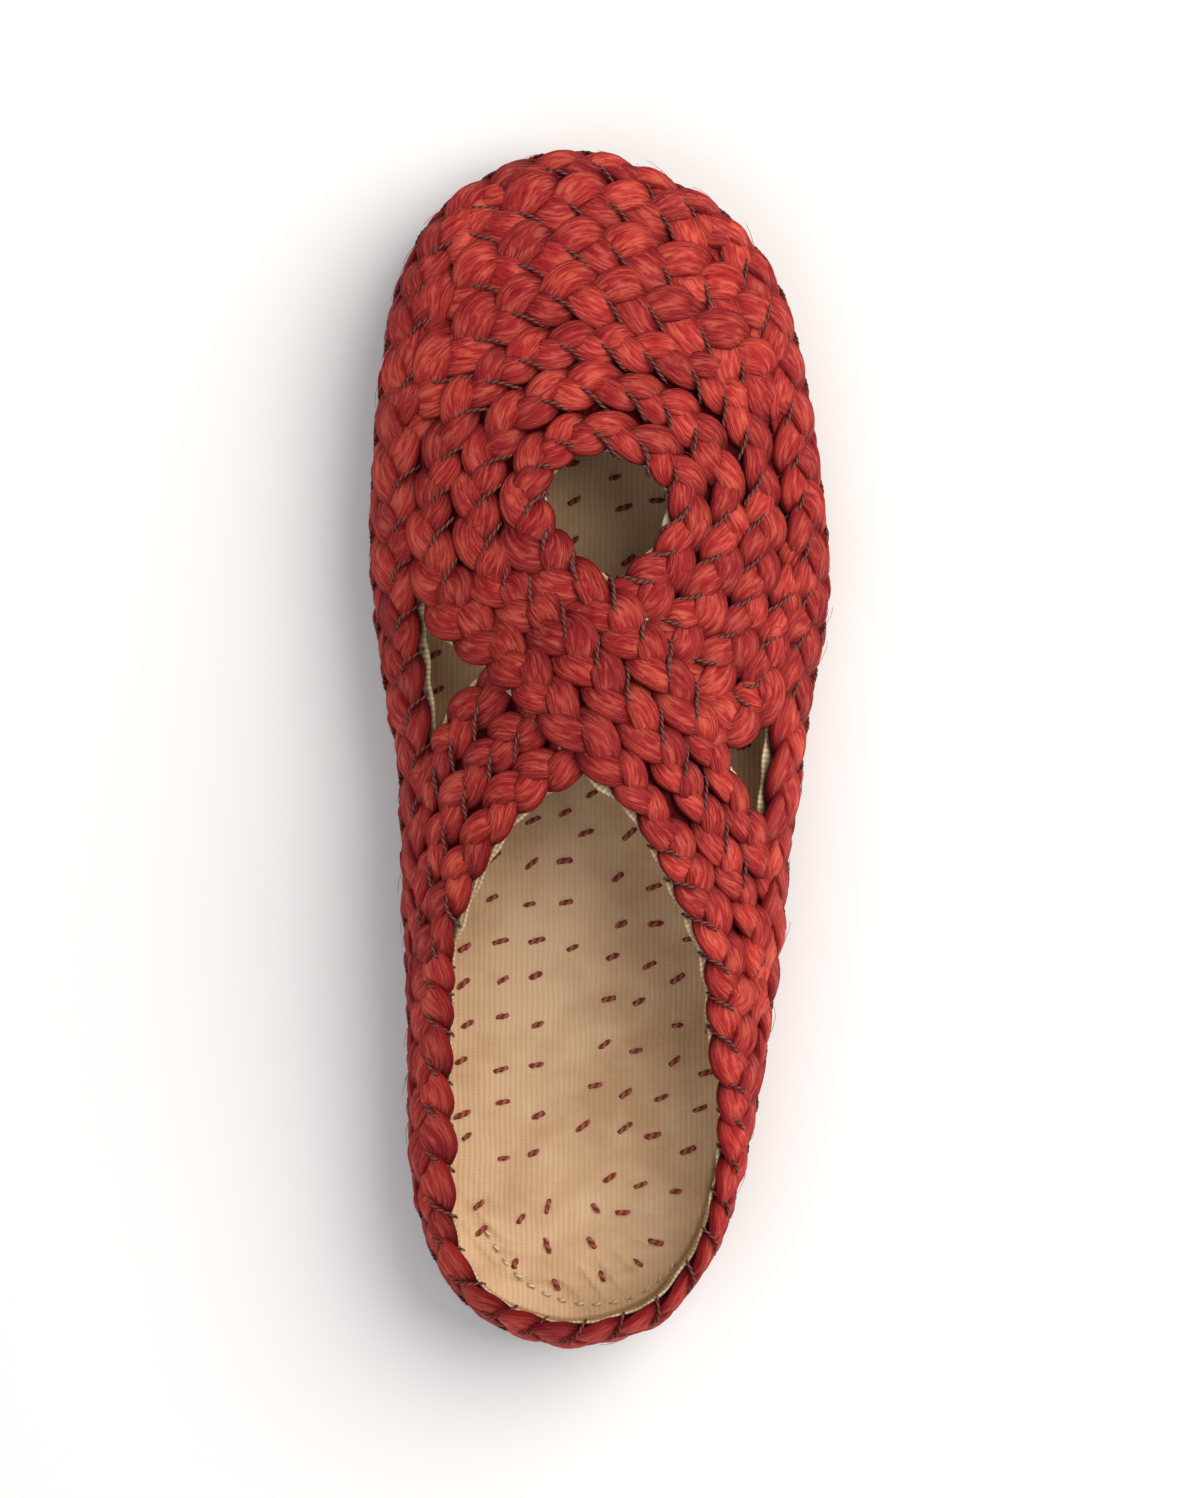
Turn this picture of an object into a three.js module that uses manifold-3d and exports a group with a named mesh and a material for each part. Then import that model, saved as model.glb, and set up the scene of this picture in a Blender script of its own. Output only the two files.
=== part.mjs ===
// A right-foot mule plaited from dyed raffia: three-strand plaits sewn row to row over a canvas lining,
// with crossed straps, a hole over the toes, a slot at each side and a plaited sole.
// Millimetres, +X to the lateral side, +Y to the toe, +Z up, origin under the middle of the box.
import * as THREE from 'three';
import { mergeVertices } from 'three/addons/utils/BufferGeometryUtils.js';
import Module from 'manifold-3d';

const wasm = await Module();
wasm.setup();

// Driving sizes
const LENGTH = 250; // outside length
const BALL_WIDTH = 97; // outside width across the ball
const INSTEP_HEIGHT = 51; // top of the wall over the instep, above the floor
const SOLE_THICKNESS = 7.5;
const SOLE_INSET = 1.6; // how far the sole's side stands back from the widest line of the upper
const SOLE_ROUND = 1.6; // rounding of the sole's side
const GROOVE_DEPTH = 1.6; // grooves between the plaits of the sole
const SOLE_PLAITS = 4; // rounds of plait in the sole around its core
const INSOLE_THICKNESS = 1.8;
const WALL = 4.9; // thickness of a plait of the upper
const SEAM = 3.0; // thickness of the wall in the seam between two rows
const WALL_ROW = 11.5; // width of the two rows that stand on the sole's edge
const CAP_ROW = 10.4; // width of the short rows of the toe cap
const STRAP_ROWS = 3;
const CAP_ROWS = 3;
const BULGE_HEIGHT = 8; // height of the widest line above the upper's lower edge
const TUCK = 1; // how far the wall draws in below its widest line
const TOE_SPRING = 5;
const HEEL_LIFT = 1.5;
const ARCH_LIFT = 1.5;
const REST = { toeEnd: 0.16, heelEnd: -0.36 }; // the sole lies flat between these, shares of LENGTH
const ARCH = { centre: -0.09, half: 0.14 }; // where the waist lifts, shares of LENGTH
const CLEARANCE = 0.3; // between pieces that are sewn to each other
const TUCKED = 2.5; // how far a row runs in behind the next one
const STATION = 7; // spacing of the sections along a row

// Outline seen from above. along: share of LENGTH from the middle; medial, lateral: shares of BALL_WIDTH
const OUTLINE = [
  { along: 0.500, medial: -0.066, lateral: -0.066 },
  { along: 0.452, medial: -0.343, lateral: 0.260 },
  { along: 0.386, medial: -0.440, lateral: 0.394 },
  { along: 0.319, medial: -0.474, lateral: 0.445 },
  { along: 0.253, medial: -0.492, lateral: 0.474 },
  { along: 0.186, medial: -0.500, lateral: 0.497 },
  { along: 0.120, medial: -0.492, lateral: 0.500 },
  { along: 0.053, medial: -0.471, lateral: 0.471 },
  { along: -0.013, medial: -0.441, lateral: 0.445 },
  { along: -0.080, medial: -0.434, lateral: 0.418 },
  { along: -0.146, medial: -0.429, lateral: 0.403 },
  { along: -0.213, medial: -0.420, lateral: 0.380 },
  { along: -0.279, medial: -0.418, lateral: 0.357 },
  { along: -0.346, medial: -0.414, lateral: 0.320 },
  { along: -0.412, medial: -0.377, lateral: 0.269 },
  { along: -0.446, medial: -0.332, lateral: 0.214 },
  { along: -0.479, medial: -0.245, lateral: 0.134 },
  { along: -0.500, medial: -0.063, lateral: -0.063 },
];

// Cross-sections of the last. height: share of INSTEP_HEIGHT; ridge: share of BALL_WIDTH;
// power: 2 gives a half ellipse, less gives a peaked instep, more the upright walls of the heel
const CROWN = [
  { along: -0.500, height: 0.86, ridge: -0.050, power: 2.8 },
  { along: -0.355, height: 0.71, ridge: -0.050, power: 2.8 },
  { along: -0.250, height: 0.80, ridge: -0.045, power: 2.6 },
  { along: -0.180, height: 0.89, ridge: -0.045, power: 2.4 },
  { along: -0.110, height: 0.97, ridge: -0.045, power: 2.1 },
  { along: -0.020, height: 1.00, ridge: -0.045, power: 1.8 },
  { along: 0.080, height: 0.93, ridge: -0.035, power: 1.7 },
  { along: 0.200, height: 0.85, ridge: -0.025, power: 1.8 },
  { along: 0.310, height: 0.78, ridge: -0.030, power: 2.1 },
  { along: 0.420, height: 0.70, ridge: -0.035, power: 2.3 },
  { along: 0.500, height: 0.60, ridge: -0.040, power: 2.3 },
];
const TOE_CENTRE = 0.310; // the toe's sections fan out from here, shares of LENGTH
const HEEL_CENTRE = -0.355;

// Edge of the foot opening: length of wall from the sole up to it, shares of INSTEP_HEIGHT
const COLLAR = [
  { along: -0.500, medial: 0.450, lateral: 0.450 },
  { along: -0.445, medial: 0.430, lateral: 0.400 },
  { along: -0.375, medial: 0.450, lateral: 0.405 },
  { along: -0.342, medial: 0.475, lateral: 0.420 },
  { along: -0.309, medial: 0.490, lateral: 0.460 },
  { along: -0.276, medial: 0.500, lateral: 0.530 },
  { along: -0.243, medial: 0.525, lateral: 0.615 },
  { along: -0.210, medial: 0.535, lateral: 0.670 },
  { along: -0.176, medial: 0.555, lateral: 0.735 },
  { along: -0.143, medial: 0.630, lateral: 0.830 },
  { along: -0.110, medial: 0.715, lateral: 0.930 },
  { along: -0.078, medial: 0.815, lateral: 1.020 },
  { along: -0.045, medial: 0.967, lateral: 1.140 },
];

// Each strap from the toe's middle, round the hole, over the instep and down the other wall.
// out and in are its two edges. along: share of LENGTH; across: share of the way from the ridge to the sole,
// lateral positive. Rows with collar true follow the foot opening on the wall that the strap runs down.
const STRAP_OVER = [
  { outAlong: 0.353, outAcross: -0.010, inAlong: 0.245, inAcross: 0.005 },
  { outAlong: 0.342, outAcross: -0.240, inAlong: 0.2415, inAcross: -0.055 },
  { outAlong: 0.310, outAcross: -0.454, inAlong: 0.233, inAcross: -0.108 },
  { outAlong: 0.264, outAcross: -0.587, inAlong: 0.224, inAcross: -0.145 },
  { outAlong: 0.208, outAcross: -0.618, inAlong: 0.212, inAcross: -0.160 },
  { outAlong: 0.155, outAcross: -0.642, inAlong: 0.182, inAcross: -0.145 },
  { outAlong: 0.100, outAcross: -0.562, inAlong: 0.154, inAcross: -0.043 },
  { outAlong: 0.065, outAcross: -0.341, inAlong: 0.133, inAcross: 0.083 },
  { outAlong: 0.022, outAcross: -0.165, inAlong: 0.100, inAcross: 0.186 },
  { outAlong: -0.021, outAcross: -0.003, inAlong: 0.052, inAcross: 0.312 },
  { outAlong: -0.061, collar: true, inAlong: 0.007, inAcross: 0.435 },
  { outAlong: -0.110, collar: true, inAlong: -0.055, inAcross: 0.603 },
  { outAlong: -0.143, collar: true, inAlong: -0.095, inAcross: 0.715 },
  { outAlong: -0.176, collar: true, inAlong: -0.138, inAcross: 0.800 },
  { outAlong: -0.210, collar: true, inAlong: -0.180, inAcross: 0.870 },
  { outAlong: -0.243, collar: true, inAlong: -0.219, inAcross: 0.917 },
];
const STRAP_UNDER = [
  { outAlong: 0.353, outAcross: -0.040, inAlong: 0.245, inAcross: -0.025 },
  { outAlong: 0.342, outAcross: 0.266, inAlong: 0.242, inAcross: 0.085 },
  { outAlong: 0.310, outAcross: 0.489, inAlong: 0.234, inAcross: 0.155 },
  { outAlong: 0.264, outAcross: 0.611, inAlong: 0.224, inAcross: 0.210 },
  { outAlong: 0.208, outAcross: 0.640, inAlong: 0.212, inAcross: 0.242 },
  { outAlong: 0.120, outAcross: 0.645, inAlong: 0.182, inAcross: 0.231 },
  { outAlong: 0.060, outAcross: 0.643, inAlong: 0.160, inAcross: 0.180 },
  { outAlong: 0.024, outAcross: 0.640, inAlong: 0.133, inAcross: 0.083 },
  { outAlong: 0.007, outAcross: 0.435, inAlong: 0.116, inAcross: -0.040 },
  { outAlong: -0.008, outAcross: 0.240, inAlong: 0.094, inAcross: -0.180 },
  { outAlong: -0.021, outAcross: -0.003, inAlong: 0.065, inAcross: -0.341 },
  { outAlong: -0.045, collar: true, inAlong: 0.038, inAcross: -0.480 },
  { outAlong: -0.078, collar: true, inAlong: 0.000, inAcross: -0.630 },
  { outAlong: -0.110, collar: true, inAlong: -0.050, inAcross: -0.740 },
  { outAlong: -0.143, collar: true, inAlong: -0.095, inAcross: -0.830 },
  { outAlong: -0.176, collar: true, inAlong: -0.139, inAcross: -0.930 },
  { outAlong: -0.210, collar: true, inAlong: -0.195, inAcross: -0.985 },
];
// The part of STRAP_OVER that rides over the other strap, as shares of its length, the part of it that
// rises or falls, and the height by which it rides over, a share of WALL
const CROSSING = { from: 0.43, to: 0.69, ease: 0.07, lift: 0.48 };
// Where the collar row's two ends run in under the straps, shares of LENGTH
const COLLAR_ENDS = { medial: -0.160, lateral: -0.185 };
// The first row bends round the toe on a smaller circle and is narrower there, by this share
const TOE_NARROWING = 0.31;
// An open row grows thinner over its two last sections
const ROW_ENDS = [0.78, 0.92];

const MATERIALS = {
  raffia: new THREE.MeshStandardMaterial({ color: '#b93a30', roughness: 0.62, metalness: 0 }),
  canvas: new THREE.MeshStandardMaterial({ color: '#bfa179', roughness: 0.9, metalness: 0 }),
};

const radians = THREE.MathUtils.degToRad;
const clamp = THREE.MathUtils.clamp;
const smooth = THREE.MathUtils.smoothstep;

// A smooth curve through one column of a table
function lookUp(table, along, column) {
  const rows = table[0].along < table[table.length - 1].along ? table : [...table].reverse();
  const last = rows.length - 1;
  const place = clamp(along, rows[0].along, rows[last].along);
  let i = 0;
  while (i < last - 1 && rows[i + 1].along < place) {
    i += 1;
  }
  const slope = (k) => {
    const before = rows[Math.max(k - 1, 0)];
    const after = rows[Math.min(k + 1, last)];
    return (after[column] - before[column]) / (after.along - before.along);
  };
  const span = rows[i + 1].along - rows[i].along;
  const t = (place - rows[i].along) / span;
  const start = (1 + 2 * t) * (1 - t) ** 2 * rows[i][column] + t * (1 - t) ** 2 * span * slope(i);
  const end = t * t * (3 - 2 * t) * rows[i + 1][column] + t * t * (t - 1) * span * slope(i + 1);
  return start + end;
}

function outlineCurve() {
  const at = (row, side) => new THREE.Vector3(row[side] * BALL_WIDTH, row.along * LENGTH, 0);
  const lateral = OUTLINE.map((row) => at(row, 'lateral'));
  const medial = OUTLINE.slice(1, -1).reverse().map((row) => at(row, 'medial'));
  return new THREE.CatmullRomCurve3([...lateral, ...medial], true, 'centripetal').getPoints(340);
}
const outline = outlineCurve();

// Height of the sole's underside above the floor: toe spring, arch and heel
function lift(y) {
  const along = y / LENGTH;
  const ahead = Math.max(along - REST.toeEnd, 0) / (0.5 - REST.toeEnd);
  const behind = Math.max(REST.heelEnd - along, 0) / (0.5 + REST.heelEnd);
  const waist = Math.max(1 - Math.abs(along - ARCH.centre) / ARCH.half, 0);
  return TOE_SPRING * ahead ** 2 + HEEL_LIFT * behind ** 2 + ARCH_LIFT * smooth(waist, 0, 1);
}

// Distance from a point inside the outline to the outline, in one direction
function outlineReach(origin, direction) {
  let reach = 0;
  for (let i = 0; i < outline.length - 1; i += 1) {
    const ax = outline[i].x - origin.x;
    const ay = outline[i].y - origin.y;
    const ex = outline[i + 1].x - outline[i].x;
    const ey = outline[i + 1].y - outline[i].y;
    const turn = direction.x * ey - direction.y * ex;
    if (turn !== 0) {
      const distance = (ax * ey - ay * ex) / turn;
      const share = (ax * direction.y - ay * direction.x) / turn;
      if (distance > reach && share >= 0 && share <= 1) {
        reach = distance;
      }
    }
  }
  return reach;
}

// A rib is one half section of the last: straight out from the ridge, and fanned round toe and heel.
// The unrolled plan lays each rib out flat, so X and Y there are true lengths along the wall.
function spinePoint(y) {
  const spine = clamp(y, HEEL_CENTRE * LENGTH, TOE_CENTRE * LENGTH);
  return { x: lookUp(CROWN, spine / LENGTH, 'ridge') * BALL_WIDTH, y: spine };
}

// The wall's lower edge slants by the tuck, and its outer corner comes nearest to the sole
const TUCK_SLOPE = Math.atan2(2 * TUCK, BULGE_HEIGHT);
const LOWER_EDGE = SOLE_THICKNESS + CLEARANCE + (SEAM - WALL / 2) * Math.sin(TUCK_SLOPE);

function ribProfile(origin, direction) {
  const reach = outlineReach(origin, direction) - WALL / 2;
  const points = [];
  const put = (r, height) => {
    const y = origin.y + direction.y * r;
    const widest = lift(y) + LOWER_EDGE + BULGE_HEIGHT;
    const top = lookUp(CROWN, y / LENGTH, 'height') * INSTEP_HEIGHT - WALL / 2;
    const z = height >= 0 ? widest + (top - widest) * height : widest + BULGE_HEIGHT * height;
    const before = points[points.length - 1];
    const s = before ? before.s + Math.hypot(r - before.r, z - before.z) : 0;
    points.push({ r, z, s });
  };
  const steps = 28;
  for (let i = 0; i <= steps; i += 1) {
    const share = Math.sin((Math.PI / 2) * (i / steps));
    const power = lookUp(CROWN, (origin.y + direction.y * reach * share) / LENGTH, 'power');
    put(reach * share, Math.max(1 - share ** power, 0) ** (1 / power));
  }
  for (let i = 1; i <= 5; i += 1) {
    put(reach - TUCK * (i / 5) ** 2, -i / 5);
  }
  return points;
}

function ribLength(origin, direction) {
  const profile = ribProfile(origin, direction);
  return profile[profile.length - 1].s;
}

// Point on the middle of the wall, from the unrolled plan
function lastPoint(X, Y) {
  const origin = spinePoint(Y);
  const s = Math.hypot(X - origin.x, Y - origin.y);
  const direction = s > 1e-6 ? { x: (X - origin.x) / s, y: (Y - origin.y) / s } : { x: 1, y: 0 };
  const profile = ribProfile(origin, direction);
  let i = 0;
  while (i < profile.length - 2 && profile[i + 1].s < s) {
    i += 1;
  }
  const t = (s - profile[i].s) / (profile[i + 1].s - profile[i].s);
  const r = profile[i].r + (profile[i + 1].r - profile[i].r) * t;
  const z = profile[i].z + (profile[i + 1].z - profile[i].z) * t;
  return new THREE.Vector3(origin.x + direction.x * r, origin.y + direction.y * r, z);
}

function wallFrame(X, Y) {
  const step = 0.8;
  const across = lastPoint(X + step, Y).sub(lastPoint(X - step, Y));
  const along = lastPoint(X, Y + step).sub(lastPoint(X, Y - step));
  return { point: lastPoint(X, Y), normal: across.cross(along).normalize() };
}

// Stations round the last: turn is degrees from straight ahead, lateral positive
function station(along, turn) {
  const origin = spinePoint(along * LENGTH);
  const direction = { x: Math.sin(radians(turn)), y: Math.cos(radians(turn)) };
  return { origin, direction, turn, length: ribLength(origin, direction) };
}

function stationsAround(spacing) {
  const side = Math.round(((TOE_CENTRE - HEEL_CENTRE) * LENGTH) / spacing);
  const fan = 2 * Math.round((Math.PI * 0.45 * BALL_WIDTH) / spacing / 2);
  const list = [];
  for (let i = 0; i < side; i += 1) {
    list.push(station(THREE.MathUtils.lerp(HEEL_CENTRE, TOE_CENTRE, i / side), -90));
  }
  for (let i = 0; i < fan; i += 1) {
    list.push(station(TOE_CENTRE, -90 + 180 * (i / fan)));
  }
  for (let i = 0; i < side; i += 1) {
    list.push(station(THREE.MathUtils.lerp(TOE_CENTRE, HEEL_CENTRE, i / side), 90));
  }
  for (let i = 0; i < fan; i += 1) {
    list.push(station(HEEL_CENTRE, 90 + 180 * (i / fan)));
  }
  return list;
}

// Unrolled plan point that lies a length of wall above the lower edge
function fromEdge(place, up) {
  const s = place.length - up;
  return { X: place.origin.x + place.direction.x * s, Y: place.origin.y + place.direction.y * s };
}

function collarUp(place) {
  const fanned = Math.min(Math.cos(radians(place.turn)), 0) * (HEEL_CENTRE + 0.5);
  const along = place.origin.y / LENGTH + fanned;
  const side = Math.sin(radians(place.turn)) > 0 ? 'lateral' : 'medial';
  return lookUp(COLLAR, along, side) * INSTEP_HEIGHT;
}

// Top of the row that stands on the sole
function firstRow(place) {
  const atToe = Math.max(Math.cos(radians(place.turn)), 0) ** 2;
  return WALL_ROW * (1 - TOE_NARROWING * atToe);
}

function rimUp(place) {
  return Math.min(2 * firstRow(place), Math.max(collarUp(place) - WALL_ROW, firstRow(place)));
}

function stationAt(X, Y) {
  const origin = spinePoint(Y);
  const s = Math.max(Math.hypot(X - origin.x, Y - origin.y), 1e-6);
  const direction = { x: (X - origin.x) / s, y: (Y - origin.y) / s };
  const turn = THREE.MathUtils.radToDeg(Math.atan2(direction.x, direction.y));
  return { origin, direction, turn, length: ribLength(origin, direction), s };
}

// Where a row is cut off by the rows on the sole's edge, it ends tucked behind them
function tuckBehindRim(point) {
  const place = stationAt(point.X, point.Y);
  const lowest = rimUp(place) - TUCKED;
  return place.length - place.s < lowest ? fromEdge(place, lowest) : point;
}

function unrolled(along, across) {
  const origin = spinePoint(along * LENGTH);
  const length = ribLength(origin, { x: Math.sign(across) || 1, y: 0 });
  return { X: origin.x + across * length, Y: along * LENGTH };
}

// A band of plait rows. Each section lists the edges of its rows in the unrolled plan
const ROW_SHAPE = [
  { share: 0, crown: 0 },
  { share: 0.22, crown: 0.80 },
  { share: 0.50, crown: 1 },
  { share: 0.78, crown: 0.80 },
];

function bandSection(section) {
  const { edges, thin = 1, raise = 0 } = section;
  const top = [];
  const bottom = [];
  const put = (list, X, Y, height) => {
    const frame = wallFrame(X, Y);
    list.push(frame.point.addScaledVector(frame.normal, height + raise * WALL));
  };
  edges.forEach((edge, k) => {
    const next = edges[k + 1];
    const width = next ? Math.hypot(next.X - edge.X, next.Y - edge.Y) : 0;
    const crown = (WALL - SEAM) * Math.min(width / (0.6 * CAP_ROW), 1);
    (next ? ROW_SHAPE : ROW_SHAPE.slice(0, 1)).forEach(({ share, crown: part }) => {
      const X = next ? edge.X + (next.X - edge.X) * share : edge.X;
      const Y = next ? edge.Y + (next.Y - edge.Y) * share : edge.Y;
      put(top, X, Y, (SEAM + crown * part) * thin - WALL / 2);
    });
    put(bottom, edge.X, edge.Y, -WALL / 2);
  });
  return [...top, ...bottom.reverse()];
}

function sweep(sections, closed) {
  const count = sections[0].length;
  const positions = sections.flat().flatMap((p) => [p.x, p.y, p.z]);
  const faces = [];
  const rings = sections.length;
  for (let i = 0; i < (closed ? rings : rings - 1); i += 1) {
    const next = (i + 1) % rings;
    for (let j = 0; j < count; j += 1) {
      const a = i * count + j;
      const b = i * count + ((j + 1) % count);
      const c = next * count + ((j + 1) % count);
      const d = next * count + j;
      faces.push([a, b, c], [a, c, d]);
    }
  }
  if (!closed) {
    capEnd(sections[0], 0, faces, false);
    capEnd(sections[rings - 1], (rings - 1) * count, faces, true);
  }
  return solid(positions, faces);
}

// The end of a band is a flat polygon, cut into triangles in its own plane
function capEnd(section, offset, faces, atEnd) {
  const half = Math.round(section.length * 0.6);
  const across = section[half].clone().sub(section[0]).normalize();
  const normal = new THREE.Vector3();
  section.forEach((p, i) => {
    const q = section[(i + 1) % section.length];
    normal.add(new THREE.Vector3().crossVectors(p, q));
  });
  normal.normalize();
  const up = new THREE.Vector3().crossVectors(normal, across);
  const flat = section.map((p) => new THREE.Vector2(p.dot(across), p.dot(up)));
  THREE.ShapeUtils.triangulateShape(flat, []).forEach(([a, b, c]) => {
    const face = [offset + a, offset + b, offset + c];
    faces.push(atEnd ? face : face.reverse());
  });
}

function solid(positions, faces) {
  const geometry = new THREE.BufferGeometry();
  geometry.setAttribute('position', new THREE.Float32BufferAttribute(positions, 3));
  geometry.setIndex(faces.flat());
  const merged = mergeVertices(geometry, 1e-3);
  const index = merged.index.array;
  const kept = [];
  for (let i = 0; i < index.length; i += 3) {
    const [a, b, c] = [index[i], index[i + 1], index[i + 2]];
    if (a !== b && b !== c && c !== a) {
      kept.push(a, b, c);
    }
  }
  const build = (triangles) => new wasm.Manifold(new wasm.Mesh({
    numProp: 3,
    vertProperties: new Float32Array(merged.attributes.position.array),
    triVerts: new Uint32Array(triangles),
  }));
  const made = build(kept);
  if (made.volume() > 0) {
    return made;
  }
  for (let i = 0; i < kept.length; i += 3) {
    [kept[i], kept[i + 1]] = [kept[i + 1], kept[i]];
  }
  return build(kept);
}

function ridesOver(t) {
  const up = smooth(t, CROSSING.from, CROSSING.from + CROSSING.ease);
  const down = smooth(t, CROSSING.to - CROSSING.ease, CROSSING.to);
  return CROSSING.lift * up * (1 - down);
}

function strapBand(table, wallSide, over) {
  const sideTurn = wallSide === 'lateral' ? 90 : -90;
  const outer = table.map((row) => {
    if (!row.collar) {
      return unrolled(row.outAlong, row.outAcross);
    }
    const place = station(row.outAlong, sideTurn);
    return fromEdge(place, collarUp(place));
  });
  const inner = table.map((row) => unrolled(row.inAlong, row.inAcross));
  const curve = (points) => new THREE.CatmullRomCurve3(
    points.map((p) => new THREE.Vector3(p.X, p.Y, 0)), false, 'centripetal',
  );
  const outCurve = curve(outer);
  const inCurve = curve(inner);
  const steps = Math.round((outCurve.getLength() + inCurve.getLength()) / 2 / STATION);
  const sections = [];
  for (let i = 0; i <= steps; i += 1) {
    const t = i / steps;
    const out = outCurve.getPoint(t);
    const inn = inCurve.getPoint(t);
    const edges = [];
    for (let k = 0; k <= STRAP_ROWS; k += 1) {
      const p = out.clone().lerp(inn, k / STRAP_ROWS);
      edges.push(tuckBehindRim({ X: p.x, Y: p.y }));
    }
    sections.push(bandSection({ edges, raise: over ? ridesOver(t) : 0 }));
  }
  return sweep(sections, false);
}

function wallRow(places, lower, upper, closed) {
  const last = places.length - 1;
  const sections = places.map((place, i) => {
    const edges = [fromEdge(place, upper(place)), fromEdge(place, lower(place))];
    const fromEnd = closed ? last : Math.min(i, last - i);
    return bandSection({ edges, thin: ROW_ENDS[fromEnd] ?? 1 });
  });
  return sweep(sections, closed);
}

// Short rows that fill the toe between the straps and the rows on the sole's edge
function toeCap(places) {
  const outEdge = new THREE.CatmullRomCurve3(
    [...[...STRAP_OVER.slice(1, 5)].reverse(), ...STRAP_UNDER.slice(0, 5)].map((row) => {
      const p = unrolled(row.outAlong, row.outAcross);
      return new THREE.Vector3(p.X, p.Y, 0);
    }), false, 'centripetal',
  );
  const steps = Math.round(outEdge.getLength() / (0.6 * STATION));
  const sections = [];
  for (let i = 0; i <= steps; i += 1) {
    const t = i / steps;
    const p = outEdge.getPoint(t);
    const place = stationAt(p.x, p.y);
    const top = place.length - place.s;
    const foot = rimUp(place) - TUCKED;
    const edges = [fromEdge(place, top + TUCKED)];
    for (let k = 0; k < CAP_ROWS; k += 1) {
      edges.push(fromEdge(place, Math.max(top - k * CAP_ROW, foot)));
    }
    edges.push(fromEdge(place, foot));
    sections.push(bandSection({ edges }));
  }
  return sweep(sections, false);
}

function makeUpper(around) {
  const onSide = around.filter((place) => Math.cos(radians(place.turn)) > -1e-6);
  const second = onSide.filter((place) => rimUp(place) - firstRow(place) > 1);
  const rim = wallRow(second, (place) => firstRow(place) + CLEARANCE / 2, rimUp, false);
  const medialEnd = around.findIndex(({ turn, origin }) => (
    turn === -90 && origin.y > COLLAR_ENDS.medial * LENGTH));
  const lateralStart = around.findIndex(({ turn, origin }) => (
    turn === 90 && origin.y < COLLAR_ENDS.lateral * LENGTH));
  const heelLoop = [...around.slice(lateralStart), ...around.slice(0, medialEnd)];
  const lowerCollar = (place) => {
    const foot = firstRow(place) + CLEARANCE / 2;
    return rimUp(place) - firstRow(place) > TUCKED ? Math.max(rimUp(place) - TUCKED / 4, foot) : foot;
  };
  const collar = wallRow(heelLoop, lowerCollar, collarUp, false);
  const over = strapBand(STRAP_OVER, 'lateral', true);
  const under = strapBand(STRAP_UNDER, 'medial', false);
  const cap = toeCap(around);
  return rim.add(collar).add(cap).add(under).add(over);
}

function makeSole(around) {
  const half = around.length;
  const reachOf = (place) => outlineReach(place.origin, place.direction) - SOLE_INSET;
  const rings = [];
  const ring = (radius, height) => {
    rings.push(around.map((place) => {
      const r = radius(reachOf(place));
      const x = place.origin.x + place.direction.x * r;
      const y = place.origin.y + place.direction.y * r;
      return new THREE.Vector3(x, y, lift(y) + height);
    }));
  };
  ring((r) => r - SOLE_ROUND, SOLE_THICKNESS);
  ring((r) => r, SOLE_THICKNESS - SOLE_ROUND);
  ring((r) => r, SOLE_ROUND + 0.6);
  for (let k = 0; k < SOLE_PLAITS; k += 1) {
    const outer = 1 - k / (SOLE_PLAITS + 0.5);
    const inner = 1 - (k + 1) / (SOLE_PLAITS + 0.5);
    ring((r) => r * (outer + (inner - outer) * 0.2) - (k === 0 ? SOLE_ROUND / 2 : 0), 0);
    ring((r) => r * (outer + (inner - outer) * 0.8), 0);
    ring((r) => r * inner, GROOVE_DEPTH);
  }
  ring((r) => r * (0.5 / (SOLE_PLAITS + 0.5)) * 0.8, 0);
  const positions = rings.flat().flatMap((p) => [p.x, p.y, p.z]);
  const faces = [];
  for (let k = 0; k < rings.length - 1; k += 1) {
    for (let i = 0; i < half; i += 1) {
      const a = k * half + i;
      const b = k * half + ((i + 1) % half);
      faces.push([a, b, b + half], [a, b + half, a + half]);
    }
  }
  faces.push(...ladder(around, 0, false), ...ladder(around, (rings.length - 1) * half, true));
  return solid(positions, faces);
}

// A flat face across a closed ring of stations, in rungs from the medial to the lateral side
function ladder(around, offset, turnedOver) {
  const mirror = around.map((place, i) => around.findIndex((other, j) => j !== i
    && Math.abs(other.origin.y - place.origin.y) < 1e-6
    && Math.abs(other.direction.x + place.direction.x) < 1e-6
    && Math.abs(other.direction.y - place.direction.y) < 1e-6));
  const faces = [];
  const medial = around.map((place, i) => i).filter((i) => around[i].direction.x < -1e-6)
    .sort((i, j) => order(around[i]) - order(around[j]));
  const tip = (ahead) => around.findIndex((place) => Math.abs(place.direction.x) < 1e-6
    && place.direction.y * ahead > 0);
  const heel = tip(-1);
  const toe = tip(1);
  const push = (face) => faces.push(turnedOver ? [...face].reverse() : face);
  push([offset + heel, offset + mirror[medial[0]], offset + medial[0]]);
  for (let i = 0; i < medial.length - 1; i += 1) {
    const a = offset + medial[i];
    const b = offset + mirror[medial[i]];
    const c = offset + mirror[medial[i + 1]];
    const d = offset + medial[i + 1];
    push([a, b, c]);
    push([a, c, d]);
  }
  const end = medial[medial.length - 1];
  push([offset + toe, offset + end, offset + mirror[end]]);
  return faces;
}

// Sorts stations from heel to toe, also those of one fan, which share their origin
function order(place) {
  return place.origin.y + place.direction.y;
}

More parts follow.
